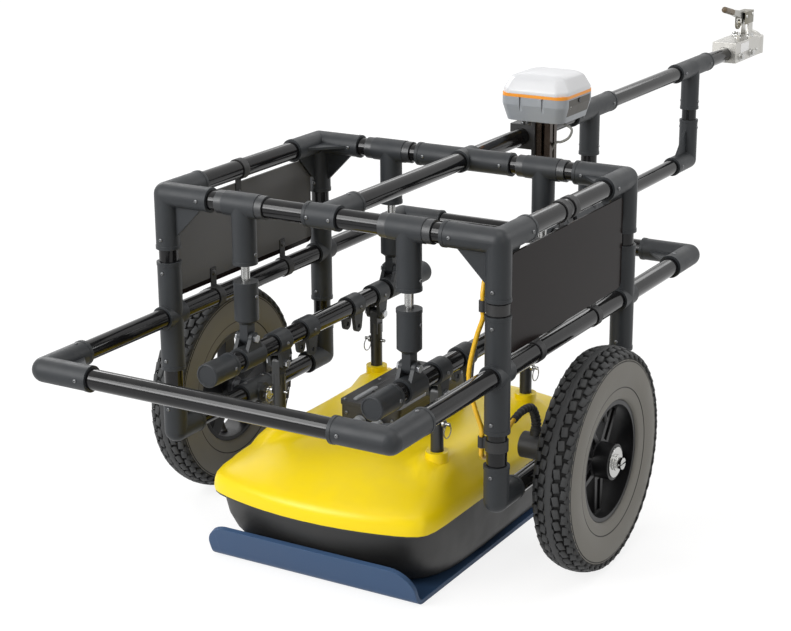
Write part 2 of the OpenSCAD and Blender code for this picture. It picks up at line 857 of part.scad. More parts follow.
module antenna_posts() {
    tang = post_d - 2 * tang_step;
    color("#4a4d50") for (x = sides, y = sides) translate([x * hanger_x, antenna_y + y * lug_span, 0])
        difference() {
            union() {
                translate([0, 0, boss_z - boss_depth])
                    cylinder(d = post_d, h = lug_z - shoulder_rise / 2 - boss_z + boss_depth);
                translate([0, 0, lug_z]) side_plate(tongue_t) {
                    circle(d = tang);
                    translate([-tang / 2, -shoulder_rise]) square([tang, shoulder_rise]);
                }
            }
            translate([0, 0, lug_z]) rotate(RIGHT)
                cylinder(d = bolt_d + 2 * fit, h = tongue_t + 2 * over, center = true);
            translate([0, 0, pin_z]) rotate(RIGHT)
                cylinder(d = pin_d + 2 * run, h = post_d + 2 * over, center = true);
        }
}

// a pull pin through a post along X, its head and split ring outside
module quick_pin(sx, sy) {
    head = post_d / 2 + gap;
    tail = head + pin_head_l + pin_tail_l;
    place = [sx * hanger_x, antenna_y + sy * lug_span, pin_z];
    color("#c9ccd0") translate(place) rotate(sx > 0 ? RIGHT : LEFT) {
        difference() {
            union() {
                translate([0, 0, -head - pin_tip]) cylinder(d = pin_d, h = head + pin_tip + tail);
                translate([0, 0, head]) cylinder(d = pin_head_d, h = pin_head_l);
            }
            translate([0, 0, tail - pin_tail_l / 2]) rotate(BACK)
                cylinder(d = split_ring_wire + 2 * gap, h = pin_d + 2 * over, center = true);
        }
        translate([sx * (split_ring_d - split_ring_wire) / 2, 0, tail - pin_tail_l / 2])
            rotate_extrude() translate([(split_ring_d - split_ring_wire) / 2, 0]) circle(d = split_ring_wire);
    }
}

module pin_front_left() quick_pin(-1, 1);
module pin_front_right() quick_pin(1, 1);
module pin_rear_left() quick_pin(-1, -1);
module pin_rear_right() quick_pin(1, -1);

// antenna

function edge(t, a, b, power) =
    let (c = a * (1 - bow_share),
        r = 1 / pow(pow(abs(cos(t)) / b, power) + pow(abs(sin(t)) / c, power), 1 / power),
        p = [r * cos(t), r * sin(t)])
    [p.x, p.y * (1 + (a / c - 1) * (1 - pow(p.x / b, 2)))];
function swell(d) = let (u = min(1, max(0, (pad_r - d) / (pad_r - pad_flat_r)))) u * u * (3 - 2 * u);
function pads(p) = swell(norm([abs(p.x) - hanger_x, abs(p.y) - lug_span]));
function pinched(p, k) =
    let (depth = sin(180 * max(0, (k - pinch_start_share) / (1 - pinch_start_share))))
    [p.x * (1 - pinch_share * depth * exp(-pow(p.y / (half_l * pinch_reach_share), 2))), p.y];
function cover_ring(v, wall) = [for (t = turns)
    let (p = pinched(edge(t, half_l * v[0] - wall, half_w * v[1] - wall, v[3]), v[2]))
    [p.x, antenna_y + p.y, cover_edge_z + v[2] * (cover_top_z - cover_edge_z) + pads(p) * pad_h * v[2]
        - (v[2] > 0 ? wall : 0)]];
function tub_ring(v, wall) = [for (t = turns)
    let (p = edge(t, tub_foot * v[0] + (tub_rim - tub_foot) * v[1] - wall, half_w * v[2] - wall, v[4]),
        rise = v[3] * (cover_edge_z - flange_t - tub_z))
    [p.x, antenna_y + p.y, tub_z + rise + (wall > 0 && v[3] < 1 ? floor_t : 0)]];
function rim_ring(inset, rise) = [for (t = turns)
    let (p = edge(t, half_l - inset, half_w - inset, cover_level_shares[0][3]))
    [p.x, antenna_y + p.y, cover_edge_z + rise]];

module antenna_cover() {
    top = len(cover_level_shares) - 1;
    color("#f2dc0a") difference() {
        union() {
            skin(concat([for (k = [0:top]) cover_ring(cover_level_shares[top - k], shell_t)],
                [for (v = cover_level_shares) cover_ring(v, 0)]));
            for (x = sides, y = sides)
                translate([x * hanger_x, antenna_y + y * lug_span, boss_z - column_l])
                    cylinder(d = boss_d, h = column_l);
        }
        for (x = sides, y = sides) translate([x * hanger_x, antenna_y + y * lug_span, boss_z - boss_depth])
            cylinder(d = post_d + 2 * fit, h = boss_depth + over);
    }
}

module antenna_tub() {
    top = len(tub_level_shares) - 1;
    lap_in = shell_t + gap;
    color("#1b1c1e") skin(concat([for (v = tub_level_shares) tub_ring(v, 0)],
        [rim_ring(flange_in, -flange_t), rim_ring(flange_in, 0), rim_ring(lap_in, 0),
            rim_ring(lap_in, lap_h), rim_ring(lap_in + lap_t, lap_h)],
        [for (k = [0:top]) tub_ring(tub_level_shares[top - k], shell_t)]));
}

// one bent end of the skid's section, from the flat out to the lip's end, on the bottom or on the top face
function bend_line(r) = concat(
    [for (k = [0:bend_steps]) [skid_l / 2 + r * sin(lip_angle * k / bend_steps),
        bend_r + skid_t - r * cos(lip_angle * k / bend_steps)]],
    [[skid_l / 2 + r * sin(lip_angle) + lip_l * cos(lip_angle),
        bend_r + skid_t - r * cos(lip_angle) + lip_l * sin(lip_angle)]]);
function turned(l) = [for (k = [1:len(l)]) l[len(l) - k]];
function flipped(l) = [for (p = l) [-p.x, p.y]];

module skid() {
    reach = bend_r + skid_t;
    color("#2c3a52") translate([0, antenna_y, 0]) difference() {
        side_plate(skid_w) polygon(concat(bend_line(reach), turned(bend_line(bend_r)),
            flipped(bend_line(bend_r)), turned(flipped(bend_line(reach)))));
        for (a = [0, 180], s = sides) rotate([0, 0, a]) translate([0, skid_l / 2, reach])
            rotate([lip_angle, 0, 0]) translate([s * skid_w / 2, lip_l, -reach - over])
                linear_extrude(skid_t + 2 * over) difference() {
                    square(2 * lip_corner_r, center = true);
                    translate([-s * lip_corner_r, -lip_corner_r]) circle(lip_corner_r);
                }
    }
}

module control_box() {
    color("#18191b") translate([0, antenna_y, cover_top_z]) {
        linear_extrude(box_h - lid_h) round_rect(box_w, box_l, box_corner_r);
        translate([0, 0, box_h - lid_h]) linear_extrude(lid_h)
            round_rect(box_w + 2 * lid_step, box_l + 2 * lid_step, box_corner_r + lid_step);
    }
}

// a flat piece on four legs
module legged(w, l, rise) {
    translate([-w / 2, -l / 2, rise]) cube([w, l, element_t]);
    for (x = sides, y = sides) translate([x * (w / 2 - leg_d), y * (l / 2 - leg_d), 0])
        cylinder(d = leg_d, h = rise);
}

module antenna_elements() {
    color("#b8862e") for (s = sides)
        translate([0, antenna_y + s * element_share * half_l, tub_z + floor_t])
            legged(element_w, element_l, element_rise);
}

module antenna_boards() {
    color("#2f5a38") for (s = sides)
        translate([0, antenna_y + s * element_share * half_l, tub_z + floor_t + element_rise + element_t])
            legged(card_w, card_l, card_rise);
}

// wheels

// half widths of the rows of tread blocks, and the crown's radius over a half width
inner_row = rib_w / 2 + groove_w;
outer_row = inner_row + row_w + groove_w;
block_turn = 360 / tread_blocks;
function crown(x) = tyre_r - crown_r + sqrt(pow(crown_r, 2) - pow(x, 2));
function wall_x(r) = tyre_w / 2 - wall_r + sqrt(pow(wall_r, 2) - pow(r - wall_mid_r, 2));

// one notch across the inner row, and one across the outer row half a block on
module notches() {
    translate([crown(inner_row) - groove_h, -notch_w / 2, rib_w / 2 - rib_bite])
        cube([2 * groove_h, notch_w, rib_bite + groove_w + row_w + over]);
    rotate([0, 0, block_turn / 2])
        translate([crown(outer_row + row_w) - groove_h, -notch_w / 2, outer_row - over])
            cube([4 * groove_h, notch_w, tyre_w]);
}

module tyre() {
    difference() {
        rotate_extrude() difference() {
            intersection() {
                translate([tyre_r - crown_r, 0]) circle(crown_r);
                translate([wall_mid_r, tyre_w / 2 - wall_r]) circle(wall_r);
                translate([wall_mid_r, wall_r - tyre_w / 2]) circle(wall_r);
                translate([seat_r + fit, -tyre_w / 2]) square([tyre_r, tyre_w]);
            }
            translate([tube_mid_r, 0]) circle(tube_r);
            translate([0, -bead_in]) square([tube_mid_r, 2 * bead_in]);
            for (s = sides, x = [rib_w / 2, outer_row - groove_w])
                translate([crown(x) - groove_h, s > 0 ? x : -x - groove_w]) square([2 * groove_h, groove_w]);
            for (s = sides, r = wall_lines) translate([r, s * wall_x(r)]) circle(wall_line_r);
        }
        for (k = [1:tread_blocks], s = sides)
            rotate([s > 0 ? 0 : 180, 0, block_turn * (k + s / 4)]) notches();
    }
}

module rim() {
    span = seat_r - rim_t / 2;
    difference() {
        union() {
            rotate_extrude() {
                translate([seat_r - rim_t, -rim_band_w / 2]) square([rim_t, rim_band_w]);
                for (s = sides) translate([seat_r - rim_t, s > 0 ? rim_band_w / 2 - rim_t : -rim_band_w / 2])
                    square([rim_d / 2 - seat_r + rim_t, rim_t]);
            }
            translate([0, 0, -hub_in]) cylinder(d = hub_d, h = hub_in + hub_out);
            for (k = [1:spokes]) rotate([0, 0, 360 * k / spokes]) translate([0, 0, spoke_z - spoke_t / 2])
                linear_extrude(spoke_t) polygon([[0, -spoke_w / 2], [span, -spoke_tip_w / 2],
                    [span, spoke_tip_w / 2], [0, spoke_w / 2]]);
        }
        for (k = [1:spokes]) rotate([0, 0, 360 * k / spokes])
            translate([hub_d / 2 + rim_t, 0, spoke_z + spoke_t / 2 - spoke_pocket_h]) linear_extrude(spoke_t)
                translate([0, -spoke_tip_w * spoke_pocket_share / 2])
                    square([seat_r - 3 * rim_t - hub_d / 2, spoke_tip_w * spoke_pocket_share]);
        for (z = [-hub_in - over, hub_out - bearing_w]) translate([0, 0, z])
            cylinder(d = bearing_d + 2 * fit, h = bearing_w + over);
        translate([0, 0, -hub_in - over])
            cylinder(d = shoulder_d + 2 * shoulder_clear, h = hub_in + hub_out + 2 * over);
    }
}

module bearings() {
    for (z = [-hub_in, hub_out - bearing_w]) translate([0, 0, z]) difference() {
        cylinder(d = bearing_d, h = bearing_w);
        translate([0, 0, -over]) cylinder(d = axle_d + 2 * run, h = bearing_w + 2 * over);
    }
}

module left_tyre() color("#4a4a48") translate([-wheel_x, 0, base_z]) rotate(LEFT) tyre();
module right_tyre() color("#4a4a48") translate([wheel_x, 0, base_z]) rotate(RIGHT) tyre();
module left_rim() color("#141415") translate([-wheel_x, 0, base_z]) rotate(LEFT) rim();
module right_rim() color("#141415") translate([wheel_x, 0, base_z]) rotate(RIGHT) rim();
module left_bearings() color("#8f9498") translate([-wheel_x, 0, base_z]) rotate(LEFT) bearings();
module right_bearings() color("#8f9498") translate([wheel_x, 0, base_z]) rotate(RIGHT) bearings();

module stub_axles() {
    inner = post_x - axle_boss_l - nut_l;
    boss_x = post_x + axle_boss_l;
    color("#a8acb0") for (s = sides) translate([0, 0, base_z]) rotate(s > 0 ? RIGHT : LEFT) {
        translate([0, 0, inner]) cylinder(d = axle_d, h = wheel_x + hub_out + gap - inner);
        translate([0, 0, boss_x]) cylinder(d = shoulder_d, h = wheel_x - hub_in - gap - boss_x);
    }
}

module axle_fasteners() {
    outer = wheel_x + hub_out + gap;
    color("#c9ccd0") {
        for (s = sides) translate([0, 0, base_z]) rotate(s > 0 ? RIGHT : LEFT) translate([0, 0, outer])
            difference() {
                union() {
                    cylinder(d = disc_d, h = disc_t);
                    cylinder(d = washer_d, h = disc_t + washer_t);
                    cylinder(d = head_w, h = disc_t + washer_t + head_l);
                }
                translate([0, 0, disc_t + washer_t + head_l])
                    cube([slot_w, 2 * head_w, head_l], center = true);
                translate([disc_slot_r, 0, disc_t / 2])
                    cube([slot_w, 2 * slot_w, disc_t + 2 * over], center = true);
            }
        translate([axle_boss_l + nut_l - post_x, 0, base_z]) rotate(LEFT) difference() {
            cylinder(d = nut_w, h = nut_l, $fn = 6);
            translate([0, 0, -over]) cylinder(d = axle_d + 2 * fit, h = nut_l + 2 * over);
        }
    }
}

// odometer

module encoder_housing() {
    color("#1c1d1f") translate([encoder_x, 0, base_z]) difference() {
        union() {
            rotate(RIGHT) cylinder(d = encoder_d, h = encoder_l, center = true);
            cylinder(d = boot_d + 2 * spigot_wall, h = boot_rise);
        }
        translate([encoder_l / 2 - nut_l - over, 0, 0]) rotate(RIGHT)
            cylinder(d = axle_d + 2 * gap, h = nut_l + 2 * over);
    }
}

module encoder_boot() {
    color("#1c1d1f") {
        skin(cord_rings(line_of(boot_route, 5), boot_d, boot_tip_d, 12, [1, 0, 0]));
        translate([plug_x, plug_y + plug_l / 2, plug_z]) rotate(BACK) cylinder(d = plug_d, h = plug_l);
    }
}

module encoder_cable() {
    color("#d9a21b") skin(cord_rings(line_of(cable_route, 4), cable_d, cable_d, 10, [1, 0, 0.02]));
}

// receiver

module slab(w, h) {
    linear_extrude(h) round_rect(w, w, receiver_corner_r);
}

module receiver_dome() {
    color("#eceeee") translate([receiver_x, receiver_y, receiver_z + receiver_h + band_h]) hull() {
        slab(receiver_w, dome_h * dome_wall_share);
        slab(receiver_w * receiver_brow_share, dome_h * dome_brow_share);
        slab(receiver_w * receiver_top_share, dome_h);
    }
}

module receiver_band() {
    color("#e8962a") translate([receiver_x, receiver_y, receiver_z + receiver_h]) slab(receiver_w, band_h);
}

module receiver_body() {
    color("#9a9da0") translate([receiver_x, receiver_y, receiver_z]) difference() {
        hull() {
            slab(receiver_w * receiver_foot_share, receiver_h * body_foot_share);
            translate([0, 0, receiver_h * body_flare_share])
                slab(receiver_w, receiver_h * (1 - body_flare_share));
        }
        for (s = sides) translate([s * receiver_w * face_groove_share, -receiver_w / 2, receiver_h / 2])
            cube([face_groove_w, 2 * face_groove_t, receiver_h + 2 * over], center = true);
        translate([receiver_w / 2 - button_h, 0, receiver_h * button_share]) rotate(RIGHT)
            cylinder(d = button_d + 2 * gap, h = button_h + over);
        translate([receiver_w * gland_side_share, -receiver_w * gland_back_share, -over])
            cylinder(d = cord_d + 2 * gap, h = gland_depth + over);
    }
}

module receiver_button() {
    face_x = receiver_x + receiver_w / 2;
    button_z = receiver_z + receiver_h * button_share;
    color("#222426") translate([face_x - button_h + button_proud, receiver_y, button_z])
        rotate(RIGHT) cylinder(d = button_d, h = button_h);
}

module receiver_post() {
    half = slot_post_w / 2;
    color("#2a2423") translate([receiver_x, receiver_y, top_z - slot_drop])
        linear_extrude(receiver_z - top_z + slot_drop) difference() {
            square(slot_post_w, center = true);
            circle(d = slot_bore_d);
            for (a = [0:90:270]) rotate(a) {
                translate([half - slot_depth, -slot_open_w / 2]) square([slot_depth + over, slot_open_w]);
                translate([half - slot_depth, -slot_wide_w / 2])
                    square([slot_depth - slot_lip - over, slot_wide_w]);
            }
        }
}

module receiver_bracket() {
    reach = receiver_x - slot_post_w / 2;
    half = bore_d / 2 + bracket_t;
    color("#2b2d30") translate([0, receiver_y, top_z]) difference() {
        union() {
            translate([-half, -bracket_l / 2, -half]) cube([half + reach, bracket_l, 2 * half]);
            translate([reach - bracket_t, -bracket_l / 2, -bracket_h / 2])
                cube([bracket_t, bracket_l, bracket_h]);
        }
        rotate(AHEAD) cylinder(d = bore_d, h = bracket_l + 2 * over, center = true);
    }
}

module receiver_cable() {
    color("#6d7072") skin(cord_rings(line_of(cord_route, 5), cord_d, cord_d, 8, [0, 1, 0.02]));
}

// coupler

module coupler_body() {
    channel_l = ball_reach - cup_r - cup_wall / 2;
    color("#b9bdc2") difference() {
        union() {
            translate([-coupler_w / 2, coupler_y, channel_z]) cube([coupler_w, channel_l, coupler_h]);
            translate([-coupler_w / 2, coupler_y + channel_l - over, channel_z])
                cube([coupler_w, ball_reach - channel_l + over, coupler_h - cup_wall]);
            translate([0, ball_y, channel_z]) cylinder(r = cup_r + cup_wall, h = coupler_h - cup_wall);
            translate([0, ball_y, channel_z + cup_h]) sphere(r = cup_r + cup_wall);
            for (s = sides) translate([s * (latch_gap / 2 + latch_t / 2), lever_y, channel_top - coupler_t])
                side_plate(latch_t) ear(latch_w, latch_rise + coupler_t, latch_tip_r);
        }
        translate([coupler_t - coupler_w / 2, coupler_y + coupler_t, channel_z - over])
            cube([coupler_w - 2 * coupler_t, channel_l - 2 * coupler_t, coupler_h - coupler_t + over]);
        translate([0, coupler_y, top_z]) rotate(AHEAD) cylinder(d = bore_d, h = 3 * coupler_t, center = true);
        translate([0, ball_y, channel_z - over]) cylinder(r = cup_r, h = cup_h + over);
        translate([0, ball_y, channel_z + cup_h]) sphere(r = cup_r);
        translate([0, ball_y, channel_z - cup_r - cup_wall]) cylinder(r = 2 * cup_r, h = cup_r + cup_wall);
        translate([0, lever_y, lever_z]) rotate(RIGHT)
            cylinder(d = pivot_d + 2 * run, h = latch_gap + 2 * latch_t + 2 * over, center = true);
    }
}

module coupler_lever() {
    tongue = latch_gap - 2 * gap;
    color("#b9bdc2") translate([0, lever_y, lever_z]) {
        rotate(RIGHT) cylinder(d = pivot_d, h = latch_gap + 2 * latch_t, center = true);
        side_plate(tongue) circle(lever_root_r);
        rotate([-lever_angle, 0, 0]) {
            side_plate(tongue) polygon([[0, -lever_root_h / 2], [0, lever_root_h / 2],
                [grip_l / 2 - lever_l, lever_t / 2], [grip_l / 2 - lever_l, -lever_t / 2]]);
            translate([0, -lever_l, 0]) rotate(AHEAD) cylinder(d = grip_d, h = grip_l);
            translate([0, -lever_l, 0]) sphere(d = grip_d);
        }
        translate([0, -trigger_back, 0]) difference() {
            side_plate(tongue) {
                translate([0, -trigger_drop]) circle(lug_tip_r);
                translate([-lug_tip_r, -trigger_drop]) square([2 * lug_tip_r, 2 * trigger_drop]);
            }
            translate([-trigger_t / 2 - gap, -lever_l, -lever_l - trigger_drop + trigger_boss_r + gap])
                cube([trigger_t + 2 * gap, 2 * lever_l, lever_l]);
        }
        translate([0, -trigger_back, -trigger_drop]) rotate(RIGHT)
            cylinder(d = trigger_d, h = tongue, center = true);
    }
}

module coupler_trigger() {
    color("#a4a8ad") translate([0, lever_y - trigger_back, lever_z - trigger_drop]) side_plate(trigger_t)
        difference() {
            union() {
                circle(trigger_boss_r);
                intersection() {
                    translate([trigger_hook_t / 2 - trigger_hook_r, 0]) difference() {
                        circle(trigger_hook_r);
                        circle(trigger_hook_r - trigger_hook_t);
                    }
                    translate([-2 * trigger_hook_r, -2 * trigger_hook_r])
                        square([3 * trigger_hook_r, 2 * trigger_hook_r]);
                }
            }
            circle(d = trigger_d + 2 * run);
        }
}

top_rails();
posts();
waist_rails();
base_rails();
top_corners();
waist_crosses();
waist_corners();
base_elbows();
axle_tees();
spine_fittings();
tow_bar();
tow_fittings();
tow_frame_pipes();
retaining_rings();
side_boards();
straps();
rear_hangers();
front_hangers();
rear_rods();
front_rods();
rear_barrels();
front_barrels();
carrier_tubes();
tube_caps();
hanger_collars();
lug_collars();
pivot_bolts();
antenna_posts();
pin_front_left();
pin_front_right();
pin_rear_left();
pin_rear_right();
antenna_cover();
antenna_tub();
skid();
control_box();
antenna_elements();
antenna_boards();
left_tyre();
right_tyre();
left_rim();
right_rim();
left_bearings();
right_bearings();
stub_axles();
axle_fasteners();
encoder_housing();
encoder_boot();
encoder_cable();
receiver_dome();
receiver_band();
receiver_body();
receiver_button();
receiver_post();
receiver_bracket();
receiver_cable();
coupler_body();
coupler_lever();
coupler_trigger();
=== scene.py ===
import math

import bmesh
import bpy
from mathutils import Matrix, Vector


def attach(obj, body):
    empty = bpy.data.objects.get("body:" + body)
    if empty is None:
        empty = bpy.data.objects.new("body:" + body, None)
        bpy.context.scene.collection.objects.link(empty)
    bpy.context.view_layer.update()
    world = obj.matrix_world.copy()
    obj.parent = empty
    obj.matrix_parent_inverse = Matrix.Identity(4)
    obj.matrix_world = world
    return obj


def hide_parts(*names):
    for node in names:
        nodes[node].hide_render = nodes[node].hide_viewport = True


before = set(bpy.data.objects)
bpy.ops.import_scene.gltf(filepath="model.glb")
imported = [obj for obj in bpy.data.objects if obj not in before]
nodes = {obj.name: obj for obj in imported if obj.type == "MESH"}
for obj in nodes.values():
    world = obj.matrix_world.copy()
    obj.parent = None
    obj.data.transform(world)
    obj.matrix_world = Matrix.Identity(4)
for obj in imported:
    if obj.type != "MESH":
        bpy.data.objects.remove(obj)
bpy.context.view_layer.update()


# Studio: a pale seamless floor and a white surround, as for a catalogue picture.
# The camera stands behind the cart on its right, a little above the top rails.
bpy.ops.object.select_all(action="DESELECT")
scene = bpy.context.scene
scene.view_settings.view_transform = "Standard"

camera_azimuth = math.radians(30.53)
camera_elevation = math.radians(17.46)
camera_roll = math.radians(-0.37)
camera_lens = 84.41
camera_place = (1.5703, -2.6779, 1.3631)
bpy.ops.object.camera_add(location=camera_place)
camera = bpy.context.object
camera.name = "studio_camera"
camera.rotation_euler = (
    Matrix.Rotation(camera_azimuth, 3, "Z")
    @ Matrix.Rotation(math.pi / 2 - camera_elevation, 3, "X")
    @ Matrix.Rotation(camera_roll, 3, "Z")
).to_euler()
camera.data.lens = camera_lens
camera.data.sensor_width = 36.0
camera.data.clip_end = 200.0
scene.camera = camera


def add(tree, kind, group=None, **values):
    """A new node or placed group with its inputs set; a low line in a name stands for a space."""
    node = tree.nodes.new(kind)
    if group:
        node.node_tree = group
    for name, value in values.items():
        node.inputs[name.replace("_", " ")].default_value = value
    return node


def reckon(tree, operation, first, second=None):
    """A sum on sockets or numbers; gives the socket of its result."""
    node = tree.nodes.new("ShaderNodeMath")
    node.operation = operation
    for place, value in enumerate((first, second)):
        if isinstance(value, bpy.types.NodeSocket):
            tree.links.new(value, node.inputs[place])
        elif value is not None:
            node.inputs[place].default_value = value
    return node.outputs[0]


def spread(tree, value, low, high, out_low=0.0, out_high=1.0):
    """A socket's value between two limits, spread over two others."""
    node = add(tree, "ShaderNodeMapRange", From_Min=low, From_Max=high, To_Min=out_low, To_Max=out_high)
    tree.links.new(value, node.inputs["Value"])
    return node.outputs["Result"]


def studio_white(tree, out, lit, seen_white):
    """Shows white to the camera and in reflections, and the lit surface to everything else."""
    path = tree.nodes.new("ShaderNodeLightPath")
    direct = reckon(tree, "MAXIMUM", path.outputs["Is Camera Ray"], path.outputs["Is Glossy Ray"])
    seen = reckon(tree, "MAXIMUM", direct, path.outputs["Is Transmission Ray"])
    mix = tree.nodes.new("ShaderNodeMixShader")
    tree.links.new(seen, mix.inputs[0])
    tree.links.new(lit.outputs[0], mix.inputs[1])
    tree.links.new(seen_white.outputs[0], mix.inputs[2])
    tree.links.new(mix.outputs[0], out.inputs["Surface"])


white, floor_grey, shade_grey = (1.0, 1.0, 1.0, 1.0), (0.82, 0.82, 0.82, 1.0), (0.24, 0.24, 0.24, 1.0)
surround_strength = 0.3
world = bpy.data.worlds.new("studio_surround")
scene.world = world
world.use_nodes = True
world_tree = world.node_tree
world_tree.nodes.clear()
world_out = world_tree.nodes.new("ShaderNodeOutputWorld")
surround_light = add(world_tree, "ShaderNodeBackground", Strength=surround_strength)
surround_seen = add(world_tree, "ShaderNodeBackground", Color=white, Strength=1.0)
studio_white(world_tree, world_out, surround_light, surround_seen)

floor_size, floor_z = 60.0, -0.0006
glow_from, glow_to, near_glow, far_glow = 2.2, 5.0, 0.82, 0.95
bpy.ops.mesh.primitive_plane_add(size=floor_size, location=(0.0, 0.0, floor_z))
floor = bpy.context.object
floor.name = "studio_floor"
floor_paint = bpy.data.materials.new("studio_floor_paint")
floor_paint.use_nodes = True
floor_tree = floor_paint.node_tree
floor_tree.nodes.clear()
floor_out = floor_tree.nodes.new("ShaderNodeOutputMaterial")
floor_matt = add(floor_tree, "ShaderNodeBsdfDiffuse", Color=floor_grey)
floor_shade = add(floor_tree, "ShaderNodeBsdfDiffuse", Color=shade_grey)
floor_glow = add(floor_tree, "ShaderNodeEmission", Color=white)
floor_place = floor_tree.nodes.new("ShaderNodeTexCoord")
floor_reach = floor_tree.nodes.new("ShaderNodeVectorMath")
floor_reach.operation = "LENGTH"
floor_tree.links.new(floor_place.outputs["Object"], floor_reach.inputs[0])
floor_level = spread(floor_tree, floor_reach.outputs["Value"], glow_from, glow_to, near_glow, far_glow)
floor_tree.links.new(floor_level, floor_glow.inputs["Strength"])
floor_seen = floor_tree.nodes.new("ShaderNodeAddShader")
floor_tree.links.new(floor_glow.outputs[0], floor_seen.inputs[0])
floor_tree.links.new(floor_shade.outputs[0], floor_seen.inputs[1])
studio_white(floor_tree, floor_out, floor_matt, floor_seen)
floor.data.materials.append(floor_paint)

# name, place, aim, width, length, power, tint
softboxes = [
    ("overhead_softbox", (0.5, -0.5, 3.5), (0.0, 0.2, 0.3), 2.4, 2.4, 42.0, (1.0, 1.0, 1.0)),
    ("back_strip", (-1.0, 4.6, 2.7), (0.0, 0.2, 0.4), 3.2, 0.6, 14.0, (1.0, 1.0, 1.0)),
    ("key_softbox", (-2.15, -4.1, 1.8), (0.0, -0.2, 0.45), 2.4, 1.1, 100.0, (1.0, 1.0, 1.0)),
    ("right_softbox", (3.2, -1.6, 1.9), (0.2, 0.3, 0.3), 1.4, 1.4, 14.0, (1.0, 0.92, 0.78)),
    ("upper_key_softbox", (-1.75, -3.3, 3.0), (0.0, -0.2, 0.45), 2.2, 1.7, 90.0, (1.0, 1.0, 1.0)),
    ("front_left_softbox", (-3.6, 2.0, 2.6), (0.0, 0.3, 0.4), 1.6, 1.6, 60.0, (1.0, 1.0, 1.0)),
    ("front_right_softbox", (3.0, 2.6, 2.6), (0.0, 0.3, 0.4), 1.6, 1.6, 44.0, (1.0, 1.0, 1.0)),
]
for name, place, aim, width, length, power, tint in softboxes:
    lamp_data = bpy.data.lights.new(name, "AREA")
    lamp_data.shape = "RECTANGLE"
    lamp_data.size = width
    lamp_data.size_y = length
    lamp_data.energy = power
    lamp_data.color = tint
    lamp = bpy.data.objects.new(name, lamp_data)
    scene.collection.objects.link(lamp)
    lamp.location = place
    lamp.rotation_euler = (Vector(aim) - Vector(place)).to_track_quat("-Z", "Y").to_euler()


# Frame pipe: extruded black plastic with a gloss, cut square and pushed into the fittings.
# The same pipe makes the rails, the posts, the tow frame and the tubes of the carrier.
def group_of(name, inputs, outputs, vectors=()):
    """An empty shader group with float inputs, float or vector outputs, its entry and its exit."""
    group = bpy.data.node_groups.new(name, "ShaderNodeTree")
    for socket in inputs:
        group.interface.new_socket(socket, in_out="INPUT", socket_type="NodeSocketFloat")
    for socket in outputs:
        kind = "NodeSocketVector" if socket in vectors else "NodeSocketFloat"
        group.interface.new_socket(socket, in_out="OUTPUT", socket_type=kind)
    return group, group.nodes.new("NodeGroupInput"), group.nodes.new("NodeGroupOutput")


def tinted(tree, share, first, second):
    """A colour between two colours or colour sockets, by a socket's share."""
    node = tree.nodes.new("ShaderNodeMix")
    node.data_type = "RGBA"
    tree.links.new(share, node.inputs["Factor"])
    for socket, value in ((node.inputs["A"], first), (node.inputs["B"], second)):
        if isinstance(value, bpy.types.NodeSocket):
            tree.links.new(value, socket)
        else:
            socket.default_value = (*value, 1.0)
    return node.outputs["Result"]


def mottle_group():
    """Soft blotches and fine grain that break up a moulded or worn surface."""
    group, entry, leave = group_of("surface_mottle", ["Blotch Scale", "Grain Scale"], ["Blotch", "Grain"])
    coords = group.nodes.new("ShaderNodeTexCoord")
    for name, detail in (("Blotch", 5.0), ("Grain", 2.0)):
        noise = add(group, "ShaderNodeTexNoise", Detail=detail)
        group.links.new(coords.outputs["Object"], noise.inputs["Vector"])
        group.links.new(entry.outputs[name + " Scale"], noise.inputs["Scale"])
        group.links.new(noise.outputs["Fac"], leave.inputs[name])
    return group


def edge_group():
    """Edges that turn over a small radius, and a mask of where they are."""
    group, entry, leave = group_of("rounded_edges", ["Radius"], ["Normal", "Edge"], vectors=["Normal"])
    turn = group.nodes.new("ShaderNodeBevel")
    turn.samples = 4
    surface = group.nodes.new("ShaderNodeNewGeometry")
    apart = group.nodes.new("ShaderNodeVectorMath")
    apart.operation = "DOT_PRODUCT"
    group.links.new(entry.outputs["Radius"], turn.inputs["Radius"])
    group.links.new(turn.outputs["Normal"], apart.inputs[0])
    group.links.new(surface.outputs["Normal"], apart.inputs[1])
    group.links.new(turn.outputs["Normal"], leave.inputs["Normal"])
    group.links.new(spread(group, apart.outputs["Value"], 0.97, 0.8), leave.inputs["Edge"])
    return group


def dust_group():
    """Fine dust that settles on faces that look up, in drifts."""
    group, entry, leave = group_of("settled_dust", ["Amount", "Drift Scale"], ["Dust"])
    coords = group.nodes.new("ShaderNodeTexCoord")
    parts = group.nodes.new("ShaderNodeSeparateXYZ")
    drift = add(group, "ShaderNodeTexNoise", Detail=6.0)
    group.links.new(coords.outputs["Normal"], parts.inputs[0])
    group.links.new(coords.outputs["Object"], drift.inputs["Vector"])
    group.links.new(entry.outputs["Drift Scale"], drift.inputs["Scale"])
    upward = spread(group, parts.outputs["Z"], 0.35, 1.0)
    patchy = spread(group, drift.outputs["Fac"], 0.38, 0.72)
    lying = reckon(group, "MULTIPLY", upward, patchy)
    group.links.new(reckon(group, "MULTIPLY", lying, entry.outputs["Amount"]), leave.inputs["Dust"])
    return group


surface_mottle = mottle_group()
rounded_edges = edge_group()
settled_dust = dust_group()
dust_tone, dust_drift = (0.36, 0.34, 0.3), 35.0
blotch_low, blotch_high, grain_depth = 0.3, 0.7, 0.0004


def new_finish(name, specular):
    """A new material, with its nodes and its shader."""
    finish = bpy.data.materials.new(name)
    finish.use_nodes = True
    shader = finish.node_tree.nodes["Principled BSDF"]
    shader.inputs["Specular IOR Level"].default_value = specular
    return finish, finish.node_tree, shader


